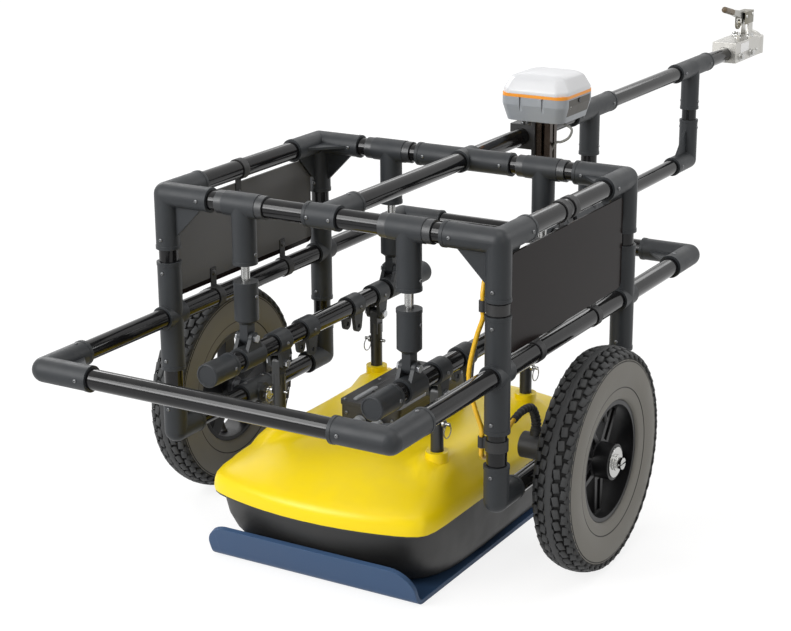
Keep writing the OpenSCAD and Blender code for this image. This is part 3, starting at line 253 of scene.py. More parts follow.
def lay_surface(tree, shader, colour, mottle, gloss, edges, height, bump, depth):
    """Gives a shader its colour, its drifting gloss, and a relief over softened edges."""
    relief = add(tree, "ShaderNodeBump", Strength=bump, Distance=depth)
    rough = spread(tree, mottle.outputs["Blotch"], blotch_low, blotch_high, *gloss)
    tree.links.new(colour, shader.inputs["Base Color"])
    tree.links.new(rough, shader.inputs["Roughness"])
    tree.links.new(height, relief.inputs["Height"])
    tree.links.new(edges.outputs["Normal"], relief.inputs["Normal"])
    tree.links.new(relief.outputs["Normal"], shader.inputs["Normal"])


def finish_of(name, dark, light, gloss, blotch=14.0, grain=900.0, bump=0.04, metal=0.0, specular=0.5,
              edge_r=0.0006, edge_lift=1.5, dust=0.0):
    """A finish whose colour and gloss drift between two values, with grain, softened edges and some dust."""
    finish, tree, shader = new_finish(name, specular)
    shader.inputs["Metallic"].default_value = metal
    mottle = add(tree, "ShaderNodeGroup", surface_mottle, Blotch_Scale=blotch, Grain_Scale=grain)
    edges = add(tree, "ShaderNodeGroup", rounded_edges, Radius=edge_r)
    colour = tinted(tree, mottle.outputs["Blotch"], dark, light)
    lifted = tuple(min(1.0, part * edge_lift) for part in light)
    colour = tinted(tree, edges.outputs["Edge"], colour, lifted)
    if dust > 0.0:
        dusting = add(tree, "ShaderNodeGroup", settled_dust, Amount=dust, Drift_Scale=dust_drift)
        colour = tinted(tree, dusting.outputs["Dust"], colour, dust_tone)
    lay_surface(tree, shader, colour, mottle, gloss, edges, mottle.outputs["Grain"], bump, grain_depth)
    return finish


def dress(finish, *names):
    """Puts a finish on nodes of the source."""
    for name in names:
        for slot in nodes[name].material_slots:
            slot.material = finish


black_pipe = finish_of("black_pipe", (0.0035, 0.0035, 0.004), (0.008, 0.008, 0.009), (0.07, 0.14),
                       blotch=9.0, grain=500.0, bump=0.02, specular=0.28, dust=0.03)
dress(black_pipe, "top_rails", "posts", "waist_rails", "base_rails", "tow_bar", "tow_frame_pipes",
      "carrier_tubes")


# Moulded fittings: charcoal corners, crosses and tees that the pipes are pushed into,
# with a rim at each mouth, webs in the corners and a self-tapping screw through each socket.
charcoal_moulding = finish_of("charcoal_moulding", (0.017, 0.019, 0.0215), (0.026, 0.029, 0.0325), (0.4, 0.54),
                              blotch=22.0, grain=1400.0, bump=0.12, specular=0.28, edge_r=0.0009, dust=0.04)
dress(charcoal_moulding, "top_corners", "waist_crosses", "waist_corners", "base_elbows", "axle_tees",
      "spine_fittings", "tow_fittings")
screw_steel = finish_of("screw_steel", (0.1, 0.102, 0.106), (0.2, 0.204, 0.21), (0.3, 0.42),
                        blotch=90.0, grain=2000.0, bump=0.05, metal=1.0, edge_r=0.0002)


def raise_steps(steps):
    """Extrudes the selected faces or edges upwards through steps of scale and height about the origin."""
    scale_now, height_now = 1.0, 0.0
    for scale, height in steps:
        bpy.ops.mesh.extrude_region_move(TRANSFORM_OT_translate={"value": (0.0, 0.0, height - height_now)})
        share = scale / scale_now
        bpy.ops.transform.resize(value=(share, share, 1.0), center_override=(0.0, 0.0, height))
        scale_now, height_now = scale, height


def close_form(angle):
    """Leaves edit mode with the form's faces outward and its curved faces smooth."""
    bpy.ops.mesh.select_all(action="SELECT")
    bpy.ops.mesh.remove_doubles(threshold=0.000001)
    bpy.ops.mesh.normals_make_consistent(inside=False)
    bpy.ops.object.mode_set(mode="OBJECT")
    bpy.ops.object.shade_smooth_by_angle(angle=math.radians(angle))


def circle_form(name, corners, radius, fill, mode):
    """A circle on the origin, open for editing with all of it selected."""
    bpy.ops.object.select_all(action="DESELECT")
    bpy.ops.mesh.primitive_circle_add(vertices=corners, radius=radius, fill_type=fill)
    model = bpy.context.object
    model.name = name
    bpy.ops.object.mode_set(mode="EDIT")
    bpy.ops.mesh.select_mode(type=mode)
    bpy.ops.mesh.select_all(action="SELECT")
    return model


def turned_model(name, finish, foot_r, steps, corners=20, angle=40.0):
    """A round or many-sided model that stands on the origin: its foot, then steps of radius and height."""
    model = circle_form(name, corners, foot_r, "NGON", "FACE")
    raise_steps([(radius / foot_r, height) for radius, height in steps])
    close_form(angle)
    model.data.materials.append(finish)
    return model


def joined(pieces, name):
    """One piece from several, at the origin, under one name."""
    bpy.ops.object.select_all(action="DESELECT")
    for piece in pieces:
        piece.select_set(True)
    bpy.context.view_layer.objects.active = pieces[0]
    if len(pieces) > 1:
        bpy.ops.object.join()
    pieces[0].name = name
    return pieces[0]


def copy_of(model, name, place):
    """A copy of a model in the scene, moved by a matrix."""
    mesh = model.data.copy()
    mesh.transform(place)
    piece = bpy.data.objects.new(name, mesh)
    scene.collection.objects.link(piece)
    return piece


def set_out(model, places, name, body):
    """Copies a model to each place, its axis along the direction given there, and rides them on a body."""
    pieces = []
    for point, out in places:
        turn = Vector(out).normalized().to_track_quat("Z", "Y").to_matrix().to_4x4()
        pieces.append(copy_of(model, name, Matrix.Translation(Vector(point)) @ turn))
    piece = joined(pieces, name)
    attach(piece, body)


frame_x, frame_y = 0.317, 0.240
base_z, waist_z, top_z = 0.193, 0.405, 0.620
rear_y, front_y = -0.570, 0.554
near_tow_y, far_tow_y = 0.780, 1.334
wall_r = 0.0207
screw_arm, cross_arm, short_arm, tee_arm, collar_arm = 0.077, 0.079, 0.044, 0.028, 0.021

screw_steps = [(0.0034, 0.0007), (0.003, 0.0015), (0.0021, 0.002), (0.0014, 0.002), (0.0011, 0.001)]
screw_model = turned_model("screw_model", screw_steel, 0.0034, screw_steps, corners=12)


def on_wall(x, y, z, out):
    """A place on the wall of a fitting, out from a point on its axis."""
    return Vector((x, y, z)) + Vector(out) * wall_r, out


RIGHT, LEFT, AHEAD = (1, 0, 0), (-1, 0, 0), (0, 1, 0)
BACK, UP, DOWN = (0, -1, 0), (0, 0, 1), (0, 0, -1)
frame_screws = []
for side in (-1, 1):
    x = side * frame_x
    for end in (-1, 1):
        y = end * frame_y
        bumper_y = front_y if end > 0 else rear_y
        frame_screws += [
            on_wall(x - side * screw_arm, y, top_z, BACK),
            on_wall(x, y - end * screw_arm, top_z, (side, 0, 0)),
            on_wall(x, y, top_z - screw_arm, BACK),
            on_wall(x, y, waist_z + cross_arm, BACK),
            on_wall(x, y, waist_z - cross_arm, BACK),
            on_wall(x - side * screw_arm, bumper_y, waist_z, (0, end, 0)),
            on_wall(x, bumper_y - end * screw_arm, waist_z, UP),
            on_wall(x, y, base_z + short_arm, (0, end, 0)),
            on_wall(x, end * tee_arm, base_z, UP),
        ]
    frame_screws += [
        on_wall(side * collar_arm, -frame_y, top_z, BACK),
        on_wall(side * cross_arm, frame_y, top_z, BACK),
        on_wall(side * collar_arm, front_y, waist_z, AHEAD),
        on_wall(0.0, near_tow_y + side * screw_arm, top_z, RIGHT),
        on_wall(0.0, far_tow_y + side * screw_arm, top_z, RIGHT),
        on_wall(0.0, near_tow_y + side * screw_arm, waist_z, RIGHT),
        on_wall(0.0, near_tow_y, top_z - screw_arm, (side, 0, 0)),
        on_wall(0.0, far_tow_y, top_z - screw_arm, (side, 0, 0)),
        on_wall(0.0, near_tow_y, waist_z + screw_arm, (side, 0, 0)),
        on_wall(0.0, far_tow_y, waist_z + screw_arm, (side, 0, 0)),
        on_wall(0.0, far_tow_y - screw_arm, waist_z, (side, 0, 0)),
    ]
frame_screws += [on_wall(0.0, -frame_y + screw_arm, top_z, UP), on_wall(0.0, front_y + screw_arm, waist_z, UP)]
set_out(screw_model, frame_screws, "frame_screws", "frame")


# Side boards: sheet between the posts, dark and glossy outside, and grey inside except for a dark strip along
# the bottom.
# Black rubber straps hold them to the rails, lap onto the inner face and are riveted there.
def place_in(tree):
    """The sockets of a point's X, Y and Z on the object."""
    coords = tree.nodes.new("ShaderNodeTexCoord")
    parts = tree.nodes.new("ShaderNodeSeparateXYZ")
    tree.links.new(coords.outputs["Object"], parts.inputs[0])
    return parts.outputs["X"], parts.outputs["Y"], parts.outputs["Z"]


def paint_over(finish, share, colour):
    """Lays a colour over a finish by a socket's share."""
    tree = finish.node_tree
    base = tree.nodes["Principled BSDF"].inputs["Base Color"]
    tree.links.new(tinted(tree, share, base.links[0].from_socket, colour), base)


board_in_x, board_mid_x, board_edge_z = 0.319, 0.3225, 0.4395
board_blend_x, board_blend_z, board_grey = 0.0004, 0.0005, (0.11, 0.11, 0.113)


def board_finish():
    """Dark gloss outside, and grey inside except for a dark strip along the bottom."""
    finish = finish_of("board_sheet", (0.0065, 0.0035, 0.0031), (0.0095, 0.006, 0.0054), (0.1, 0.17),
                       blotch=6.0, grain=700.0, bump=0.02, specular=0.06, edge_r=0.0008, edge_lift=3.0,
                       dust=0.02)
    tree = finish.node_tree
    x, y, z = place_in(tree)
    inside = spread(tree, reckon(tree, "ABSOLUTE", x), board_mid_x + board_blend_x, board_mid_x)
    above_edge = spread(tree, z, board_edge_z, board_edge_z + board_blend_z)
    paint_over(finish, reckon(tree, "MULTIPLY", inside, above_edge), board_grey)
    return finish


dress(board_finish(), "side_boards")
strap_rubber = finish_of("strap_rubber", (0.008, 0.008, 0.0085), (0.014, 0.014, 0.015), (0.5, 0.7),
                         blotch=40.0, grain=1600.0, bump=0.15)
dress(strap_rubber, "straps")

rivet_black = finish_of("rivet_black", (0.012, 0.012, 0.013), (0.02, 0.02, 0.021), (0.25, 0.4),
                        blotch=60.0, grain=1200.0, bump=0.05)
rivet_steps = [(0.0055, 0.0005), (0.005, 0.0013), (0.0036, 0.002), (0.0015, 0.0024)]
rivet_model = turned_model("rivet_model", rivet_black, 0.0055, rivet_steps, corners=16, angle=60.0)
strap_lap, top_strap_y, low_strap_y = 0.043, -0.025, 0.11
board_rivets = []
for side in (-1, 1):
    for y, z in ((top_strap_y, top_z - strap_lap), (-low_strap_y, waist_z + strap_lap),
                 (low_strap_y, waist_z + strap_lap)):
        board_rivets.append(((side * board_in_x, y, z), (-side, 0, 0)))
set_out(rivet_model, board_rivets, "board_rivets", "frame")


# Suspension: moulded hangers turn on the top rails between rings, bright rods slide in their stems,
# and clevis barrels under the rods carry the two tubes by eared collars and bolts.
dress(charcoal_moulding, "rear_hangers", "front_hangers", "rear_barrels", "front_barrels", "tube_caps",
      "hanger_collars", "lug_collars")
dress(finish_of("ring_moulding", (0.014, 0.015, 0.0165), (0.021, 0.0225, 0.025), (0.32, 0.44),
                blotch=22.0, grain=1400.0, bump=0.08), "retaining_rings")
dress(finish_of("bright_steel", (0.4, 0.4, 0.395), (0.5, 0.5, 0.49), (0.14, 0.26),
                blotch=30.0, bump=0.03, metal=1.0), "rear_rods", "front_rods")
dress(finish_of("pin_steel", (0.2, 0.2, 0.195), (0.3, 0.3, 0.29), (0.2, 0.32),
                blotch=40.0, bump=0.03, metal=1.0),
      "pin_front_left", "pin_front_right", "pin_rear_left", "pin_rear_right")
plated_steel = finish_of("plated_steel", (0.42, 0.43, 0.45), (0.56, 0.57, 0.59), (0.26, 0.42),
                         blotch=40.0, bump=0.05, metal=1.0)
dress(plated_steel, "pivot_bolts")
dress(finish_of("grey_post", (0.012, 0.013, 0.014), (0.02, 0.0215, 0.023), (0.3, 0.45),
                blotch=30.0, grain=1200.0, bump=0.1), "antenna_posts")

hanger_x, tube_z, antenna_y = 0.158, 0.356, 0.016
stem_arm, barrel_screw_z = 0.083, 0.464
hanger_collar_y, outer_lug_arm, inner_lug_arm, cap_end_y = 0.304, 0.165, 0.0776, 0.357
for end, pair, links in ((-1, "rear_hanger_pair", "rear_links"), (1, "front_hanger_pair", "front_links")):
    for z, body in ((top_z - stem_arm, pair), (barrel_screw_z, links)):
        screws = [on_wall(side * hanger_x, end * frame_y, z, RIGHT) for side in (-1, 1)]
        set_out(screw_model, screws, body + "_screws", body)
carrier_screws, cap_faces = [], []
for side in (-1, 1):
    for end in (-1, 1):
        for y in (end * hanger_collar_y, antenna_y + end * outer_lug_arm, antenna_y + end * inner_lug_arm):
            carrier_screws.append(on_wall(side * hanger_x, y, tube_z, RIGHT))
        cap_faces.append(((side * hanger_x, end * cap_end_y, tube_z), (0, end, 0)))
set_out(screw_model, carrier_screws, "carrier_screws", "carrier")
cap_face_steps = [(0.0204, 0.0008), (0.0192, 0.0018), (0.0174, 0.0018), (0.0166, 0.0004)]
cap_face_model = turned_model("cap_face_model", charcoal_moulding, 0.0206, cap_face_steps, corners=40)
set_out(cap_face_model, cap_faces, "tube_cap_faces", "carrier")


# Antenna: a yellow moulded cover laps over a black moulded tub that stands on a bent blue skid plate.
# Four posts rise out of its bosses, and the control box is screwed down between them.
def pick(piece):
    """Makes a piece the one that is selected and active."""
    bpy.ops.object.select_all(action="DESELECT")
    piece.select_set(True)
    bpy.context.view_layer.objects.active = piece


def smooth_copy(node, name, finish, body, angle):
    """A copy of a solid with its triangles joined, so that its curved faces shade as one skin."""
    piece = bpy.data.objects.new(name, nodes[node].data.copy())
    scene.collection.objects.link(piece)
    pick(piece)
    bpy.ops.mesh.customdata_custom_splitnormals_clear()
    bpy.ops.object.mode_set(mode="EDIT")
    bpy.ops.mesh.select_all(action="SELECT")
    bpy.ops.mesh.remove_doubles(threshold=0.00002)
    bpy.ops.mesh.tris_convert_to_quads(face_threshold=math.radians(30), shape_threshold=math.radians(70))
    bpy.ops.object.mode_set(mode="OBJECT")
    bpy.ops.object.shade_smooth_by_angle(angle=math.radians(angle))
    piece.data.materials.clear()
    piece.data.materials.append(finish)
    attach(piece, body)
    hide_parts(node)


yellow_moulding = finish_of("yellow_moulding", (0.84, 0.61, 0.0), (0.92, 0.69, 0.0), (0.3, 0.42), blotch=5.0,
                            grain=420.0, bump=0.06, specular=0.35, edge_r=0.0015, edge_lift=1.0, dust=0.04)
smooth_copy("antenna_cover", "antenna_cover_shell", yellow_moulding, "carrier", 40.0)
black_moulding = finish_of("black_moulding", (0.012, 0.012, 0.012), (0.02, 0.0195, 0.019), (0.42, 0.58),
                           blotch=12.0, bump=0.12, edge_r=0.001)
smooth_copy("antenna_tub", "antenna_tub_shell", black_moulding, "carrier", 40.0)
scratch_scale, scratch_tone = (260.0, 6.0, 6.0), (0.12, 0.16, 0.24)


def skid_finish():
    """Blue plastic sheet with fine scratches along the direction of travel."""
    finish = finish_of("blue_sheet", (0.028, 0.062, 0.135), (0.037, 0.08, 0.165), (0.44, 0.56), blotch=8.0,
                       grain=600.0, bump=0.05, specular=0.3, edge_r=0.001, edge_lift=2.0)
    tree = finish.node_tree
    coords = tree.nodes.new("ShaderNodeTexCoord")
    lengthen = add(tree, "ShaderNodeMapping", Scale=scratch_scale)
    lines = add(tree, "ShaderNodeTexNoise", Scale=1.0, Detail=4.0)
    tree.links.new(coords.outputs["Object"], lengthen.inputs["Vector"])
    tree.links.new(lengthen.outputs["Vector"], lines.inputs["Vector"])
    paint_over(finish, spread(tree, lines.outputs["Fac"], 0.64, 0.8, 0.0, 0.35), scratch_tone)
    return finish


dress(skid_finish(), "skid")
dress(finish_of("plate_copper", (0.55, 0.3, 0.12), (0.65, 0.38, 0.16), (0.3, 0.4),
                blotch=20.0, grain=600.0, bump=0.02, metal=1.0), "antenna_elements")
dress(finish_of("card_green", (0.01, 0.06, 0.02), (0.02, 0.09, 0.03), (0.35, 0.5),
                blotch=30.0, grain=600.0, bump=0.02), "antenna_boards")


# Control box: a black moulded case with a lid on six screws, a recessed plate and a grey latch bar on the
# lid, and two capped round connectors on its rear end.
box_black = finish_of("box_black", (0.006, 0.006, 0.0065), (0.011, 0.011, 0.012), (0.3, 0.42),
                      blotch=12.0, grain=1100.0, bump=0.14, edge_r=0.0015, dust=0.05)
dress(box_black, "control_box")


def flat_form(name, width, length):
    """A flat face on the origin, open for editing with all of it selected."""
    bpy.ops.object.select_all(action="DESELECT")
    bpy.ops.mesh.primitive_plane_add(size=1.0)
    model = bpy.context.object
    model.name = name
    bpy.ops.transform.resize(value=(width, length, 1.0), center_override=(0.0, 0.0, 0.0))
    bpy.ops.object.transform_apply(location=True, rotation=True, scale=True)
    bpy.ops.object.mode_set(mode="EDIT")
    bpy.ops.mesh.select_mode(type="FACE")
    bpy.ops.mesh.select_all(action="SELECT")
    return model


def round_corners(offset, segments):
    """Rounds or cuts the corners of the open flat face, and selects it again."""
    bpy.ops.mesh.bevel(offset=offset, offset_type="WIDTH", segments=segments, affect="VERTICES")
    bpy.ops.mesh.select_all(action="SELECT")


def plate_model(name, finish, width, length, height, corner, rise_steps=()):
    """A plate that stands on the origin, with round corners and a softened rim."""
    model = flat_form(name, width, length)
    round_corners(corner, 4)
    raise_steps([(1.0, height * 0.7), (1.0 - 0.3 * height / width, height), *rise_steps])
    close_form(35.0)
    model.data.materials.append(finish)
    return model


box_top_z, box_rear_y, lid_sink, screw_sink = 0.254, -0.107, 0.0002, 0.0003
plate_ahead, latch_x, latch_behind = 0.022, -0.034, 0.078
lid_screw_x, lid_screw_arm = 0.053, 0.117
rear_screw_x, rear_screw_z, connector_x, connector_z = 0.046, 0.232, 0.018, 0.219
lid_plate = plate_model("lid_plate_model", box_black, width=0.084, length=0.17, height=0.0016, corner=0.006,
                        rise_steps=[(0.94, 0.0016), (0.93, 0.0009)])
set_out(lid_plate, [((0.0, antenna_y + plate_ahead, box_top_z - lid_sink), UP)], "control_box_plate", "carrier")
latch_grey = finish_of("latch_grey", (0.24, 0.25, 0.26), (0.34, 0.35, 0.36), (0.3, 0.42),
                       blotch=50.0, grain=1200.0, bump=0.06)
latch_bar = plate_model("latch_bar_model", latch_grey, width=0.008, length=0.074, height=0.004, corner=0.0035)
set_out(latch_bar, [((latch_x, antenna_y - latch_behind, box_top_z - lid_sink), UP)], "control_box_latch",
        "carrier")
box_screws = [((side * lid_screw_x, antenna_y + end * lid_screw_arm, box_top_z - screw_sink), UP)
              for side in (-1, 1) for end in (-1, 0, 1)]
box_screws += [((side * rear_screw_x, box_rear_y, rear_screw_z), BACK) for side in (-1, 1)]
set_out(screw_model, box_screws, "control_box_screws", "carrier")
connector_steps = [(0.0125, 0.003), (0.0095, 0.003), (0.0095, 0.006), (0.0115, 0.006), (0.0115, 0.009),
                   (0.0108, 0.0095), (0.0115, 0.01), (0.0115, 0.013), (0.0108, 0.0135), (0.0115, 0.014),
                   (0.0112, 0.018), (0.0085, 0.0195)]
connector_model = turned_model("connector_model", latch_grey, 0.0125, connector_steps, corners=28, angle=35.0)
set_out(connector_model, [((side * connector_x, box_rear_y, connector_z), BACK) for side in (-1, 1)],
        "control_box_connectors", "carrier")


# Wheels: block-tread tyres with a smooth grey wall on black spoked rims, with bearings on fixed stub axles.
# A rubber valve stands in the gap between two spokes.
wheel_x, tyre_r = 0.38405, 0.193
tread_blocks, tread_depth, crown_r = 52, 0.005, 0.06
crown_centre, base_r = tyre_r - crown_r, crown_r - tread_depth
# The dark tones of the wall's ring lines and of the grooves between the tread blocks are painted shade.
wall_line_radii, painted_line_shade = (0.127, 0.1715, 0.175), (0.02, 0.019, 0.017)
tread_from_r, groove_from_r, painted_groove_shade = 0.1746, 0.179, (0.006, 0.006, 0.006)
ring_waves, ring_height = 2400.0, 0.25


def tread_group():
    """Distance from the wheel's axis, and depth under the crown of the tread."""
    group, entry, leave = group_of("tread_place", ["Crown Radius"], ["Radius", "Depth"])
    x, y, z = place_in(group)
    rise = reckon(group, "SUBTRACT", z, base_z)
    squares = reckon(group, "ADD", reckon(group, "MULTIPLY", rise, rise), reckon(group, "MULTIPLY", y, y))
    radius = reckon(group, "SQRT", squares)
    aside = reckon(group, "SUBTRACT", reckon(group, "ABSOLUTE", x), wheel_x)
    crown = entry.outputs["Crown Radius"]
    drop = reckon(group, "SUBTRACT", reckon(group, "MULTIPLY", crown, crown),
                  reckon(group, "MULTIPLY", aside, aside))
    height = reckon(group, "ADD", reckon(group, "SQRT", drop), reckon(group, "SUBTRACT", tyre_r, crown))
    group.links.new(radius, leave.inputs["Radius"])
    group.links.new(reckon(group, "SUBTRACT", height, radius), leave.inputs["Depth"])
    return group


tread_place = tread_group()


def tyre_finish():
    """Black tread with painted shade in the grooves between its blocks, and a warm grey wall with fine moulded
    rings and painted shade along three ring lines.
    """
    finish, tree, shader = new_finish("tyre_rubber", 0.3)
    mottle = add(tree, "ShaderNodeGroup", surface_mottle, Blotch_Scale=16.0, Grain_Scale=1200.0)
    edges = add(tree, "ShaderNodeGroup", rounded_edges, Radius=0.0012)
    place = add(tree, "ShaderNodeGroup", tread_place, Crown_Radius=crown_r)
    radius = place.outputs["Radius"]
    on_tread = spread(tree, radius, tread_from_r, tread_from_r + 0.001)
    sunk = reckon(tree, "MULTIPLY", spread(tree, place.outputs["Depth"], 0.0012, 0.0042),
                  spread(tree, radius, groove_from_r, groove_from_r + 0.0015))
    wall = tinted(tree, mottle.outputs["Blotch"], (0.146, 0.14, 0.126), (0.197, 0.19, 0.172))
    tread = tinted(tree, mottle.outputs["Blotch"], (0.03, 0.031, 0.032), (0.052, 0.053, 0.054))
    colour = tinted(tree, on_tread, wall, tread)
    # Painted shade darkens the surface between the blocks, where it lies below the crown.
    colour = tinted(tree, sunk, colour, painted_groove_shade)
    # Painted shade along the wall's three ring lines, for the shade in their moulded grooves.
    for line_r in wall_line_radii:
        off_line = reckon(tree, "ABSOLUTE", reckon(tree, "SUBTRACT", radius, line_r))
        colour = tinted(tree, spread(tree, off_line, 0.0013, 0.0006), colour, painted_line_shade)
    rings = reckon(tree, "SINE", reckon(tree, "MULTIPLY", radius, ring_waves))
    on_wall_only = reckon(tree, "SUBTRACT", 1.0, on_tread)
    fine = reckon(tree, "MULTIPLY", reckon(tree, "MULTIPLY", rings, on_wall_only), ring_height)
    height = reckon(tree, "ADD", mottle.outputs["Grain"], fine)
    lay_surface(tree, shader, colour, mottle, (0.55, 0.75), edges, height, bump=0.22, depth=0.0005)
    return finish


tyre_rubber = tyre_finish()


def ring_model(name, finish, profile, corners):
    """A closed ring about the X axis, turned from steps of radius and distance to the side."""
    foot_r = profile[0][0]
    model = circle_form(name, corners, foot_r, "NOTHING", "EDGE")
    raise_steps([(radius / foot_r, aside) for radius, aside in profile[1:] + profile[:1]])
    close_form(28.0)
    model.data.transform(Matrix.Rotation(math.pi / 2, 4, "Y"))
    model.data.materials.append(finish)
    return model


def tread_row(model, aside, radius, lean, slant, start):
    """Copies of a block round the wheel, beside its middle plane, leaning out and turned a little."""
    stand = (Matrix.Translation((aside, 0.0, radius)) @ Matrix.Rotation(lean, 4, "Y")
             @ Matrix.Rotation(slant, 4, "Z"))
    pitch = 2 * math.pi / tread_blocks
    return [copy_of(model, model.name, Matrix.Rotation((k + start) * pitch, 4, "X") @ stand)
            for k in range(tread_blocks)]


def block_model(name, width, length, height, pointed=False):
    """One tread block that stands on the origin, with softened top edges: a four-sided one or a diamond."""
    steps = [(0.478, height * 0.86), (0.43, height)]
    model = turned_model(name, tyre_rubber, 0.5, steps, corners=4, angle=25.0)
    turn, share = (0.0, 1.0) if pointed else (math.pi / 4, math.sqrt(2))
    size = Matrix.Diagonal((share * width, share * length, 1.0, 1.0))
    model.data.transform(size @ Matrix.Rotation(turn, 4, "Z"))
    return model


half_profile = [
    (0.102, 0.0), (0.102, 0.0194), (0.1049, 0.0194), (0.1049, 0.0225), (0.1058, 0.0254), (0.1078, 0.0274),
    (0.111, 0.0286), (0.116, 0.0293), (0.1225, 0.0299), (0.1262, 0.0303), (0.127, 0.0297), (0.1278, 0.0307),
    (0.134, 0.0323), (0.142, 0.0336), (0.15, 0.034), (0.158, 0.0337), (0.165, 0.0327), (0.1706, 0.0316),
    (0.1715, 0.0308), (0.1724, 0.0312), (0.1742, 0.0308), (0.175, 0.03), (0.1758, 0.0304), (0.1785, 0.0297),
    (0.1797, 0.029), (0.1825, 0.024), (0.185, 0.018), (0.1867, 0.012), (0.1875, 0.007), (0.1877, 0.0057),
    (0.1924, 0.0053), (0.1929, 0.0043), (0.193, 0.0),
]
tyre_profile = half_profile + [(radius, -aside) for radius, aside in half_profile[-2:0:-1]]
block = block_model("tread_block_model", width=0.0108, length=0.0168, height=tread_depth)
shoulder_block = block_model("shoulder_block_model", width=0.0106, length=0.016, height=tread_depth)
cleat = block_model("cleat_model", width=0.013, length=0.0165, height=0.0024, pointed=True)
tooth = block_model("rib_tooth_model", width=0.0044, length=0.012, height=tread_depth * 0.92, pointed=True)
block_lean, shoulder_lean, row_shift = 0.222, 0.448, 0.25
# model, distance to the side, radius, lean, slant, start
tread_rows = [
    (block, base_r * math.sin(block_lean), crown_centre + base_r * math.cos(block_lean), block_lean, 0.2, 0.0),
    (shoulder_block, base_r * math.sin(shoulder_lean), crown_centre + base_r * math.cos(shoulder_lean),
     shoulder_lean, -0.16, 0.5),
    (cleat, 0.0294, 0.1803, 1.05, 0.0, 0.0),
    (tooth, 0.0056, crown_centre + base_r - 0.0002, 0.08, 0.0, 0.5),
]
for side, node, body in ((-1, "left_tyre", "left_wheel"), (1, "right_tyre", "right_wheel")):
    pieces = [ring_model(node + "_rubber", tyre_rubber, tyre_profile, corners=144)]
    for hand in (-1, 1):
        for model, aside, radius, lean, slant, start in tread_rows:
            pieces += tread_row(model, hand * aside, radius, hand * lean, hand * slant, start + row_shift * hand)
    tyre = joined(pieces, node + "_rubber")
    tyre.data.transform(Matrix.Translation((side * wheel_x, 0.0, base_z)))
    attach(tyre, body)
    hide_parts(node)
dress(finish_of("black_rim", (0.004, 0.004, 0.0045), (0.007, 0.007, 0.008), (0.34, 0.46),
                grain=800.0, specular=0.3, edge_r=0.0015), "left_rim", "right_rim")
dress(plated_steel, "stub_axles")
dress(finish_of("bearing_steel", (0.1, 0.1, 0.102), (0.16, 0.16, 0.163), (0.3, 0.45),
                blotch=40.0, bump=0.03, metal=1.0), "left_bearings", "right_bearings")
chrome_steel = finish_of("chrome_steel", (0.4, 0.4, 0.39), (0.52, 0.52, 0.51), (0.1, 0.2),
                         blotch=40.0, bump=0.02, metal=1.0, edge_r=0.0008)
dress(chrome_steel, "axle_fasteners")
valve_steps = [(0.0075, 0.002), (0.0055, 0.004), (0.0048, 0.014), (0.0042, 0.02), (0.0042, 0.0215),
               (0.0047, 0.0215), (0.0047, 0.028), (0.004, 0.0295), (0.0025, 0.0295)]
valve_model = turned_model("valve_model", strap_rubber, 0.0075, valve_steps, corners=16, angle=35.0)
valve_aside, valve_in_r, valve_lean = 0.006, 0.0968, 0.25
for side, name, body in ((1, "right_valve", "right_wheel"), (-1, "left_valve", "left_wheel")):
    valve_place = (side * (wheel_x + valve_aside), 0.0, base_z + side * valve_in_r)
    set_out(valve_model, [(valve_place, (side * valve_lean, 0.0, -side))], name, body)


# Odometer: a sensor housing on the right axle's inner end, with a ribbed rubber boot over the cable's exit.
# The amber cable runs up the rear post under two straps to a plug below the right top rail.
dress(black_moulding, "encoder_housing")


def smooth_route(points, steps):
    """Points along a smooth line through a route."""
    line = []
    for i in range(len(points) - 1):
        a, b, c, d = (Vector(points[min(max(k, 0), len(points) - 1)]) for k in (i - 1, i, i + 1, i + 2))
        for k in range(steps):
            u = k / steps
            line.append((2 * b + (c - a) * u + (2 * a - 5 * b + 4 * c - d) * u ** 2
                         + (3 * b - a - 3 * c + d) * u ** 3) / 2)
    return line + [Vector(points[-1])]


def ribbed_tube(name, line, radii):
    """A closed tube along a line, with its own radius at each point."""
    curve = bpy.data.curves.new(name, "CURVE")
    curve.dimensions = "3D"
    curve.bevel_depth = 1.0
    curve.bevel_resolution = 5
    curve.use_fill_caps = True
    spline = curve.splines.new("POLY")
    spline.points.add(len(line) - 1)
    for point, place, radius in zip(spline.points, line, radii):
        point.co = (*place, 1.0)
        point.radius = radius
    piece = bpy.data.objects.new(name, curve)
    scene.collection.objects.link(piece)
    pick(piece)
    bpy.ops.object.convert(target="MESH")
    bpy.ops.object.shade_smooth_by_angle(angle=math.radians(35))
    return bpy.context.object


boot_points = [(0.269, 0.0, 0.223), (0.269, -0.002, 0.243), (0.269, -0.020, 0.269), (0.269, -0.054, 0.275),
               (0.271, -0.090, 0.271)]
boot_line = smooth_route(boot_points, steps=14)
boot_foot_r, boot_tip_r, boot_groove = 0.0095, 0.0065, 0.8
boot_radii = []
for k in range(len(boot_line)):
    taper = boot_foot_r + (boot_tip_r - boot_foot_r) * k / (len(boot_line) - 1)
    boot_radii.append(taper * (1.0 if k % 4 < 2 or k < 6 else boot_groove))
plug_x, plug_z = 0.30172, 0.59897
plug_steps = [(-0.0160, 0.0050), (-0.0158, 0.0062), (-0.0080, 0.0070), (-0.0078, 0.0062), (-0.0050, 0.0062),
              (-0.0048, 0.0070), (0.0290, 0.0070), (0.0300, 0.0060)]
plug_ys, plug_radii = zip(*plug_steps)
boot = ribbed_tube("encoder_boot_ribs", boot_line, boot_radii)
plug = ribbed_tube("encoder_plug", [Vector((plug_x, y, plug_z)) for y in plug_ys], plug_radii)
boot = joined([boot, plug], "encoder_boot_ribs")
boot.data.materials.append(strap_rubber)
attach(boot, "frame")
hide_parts("encoder_boot")
amber_jacket = finish_of("amber_jacket", (0.66, 0.36, 0.006), (0.78, 0.46, 0.01), (0.32, 0.44),
                         blotch=30.0, grain=1400.0, bump=0.06)
smooth_copy("encoder_cable", "encoder_cable_jacket", amber_jacket, "frame", 60.0)


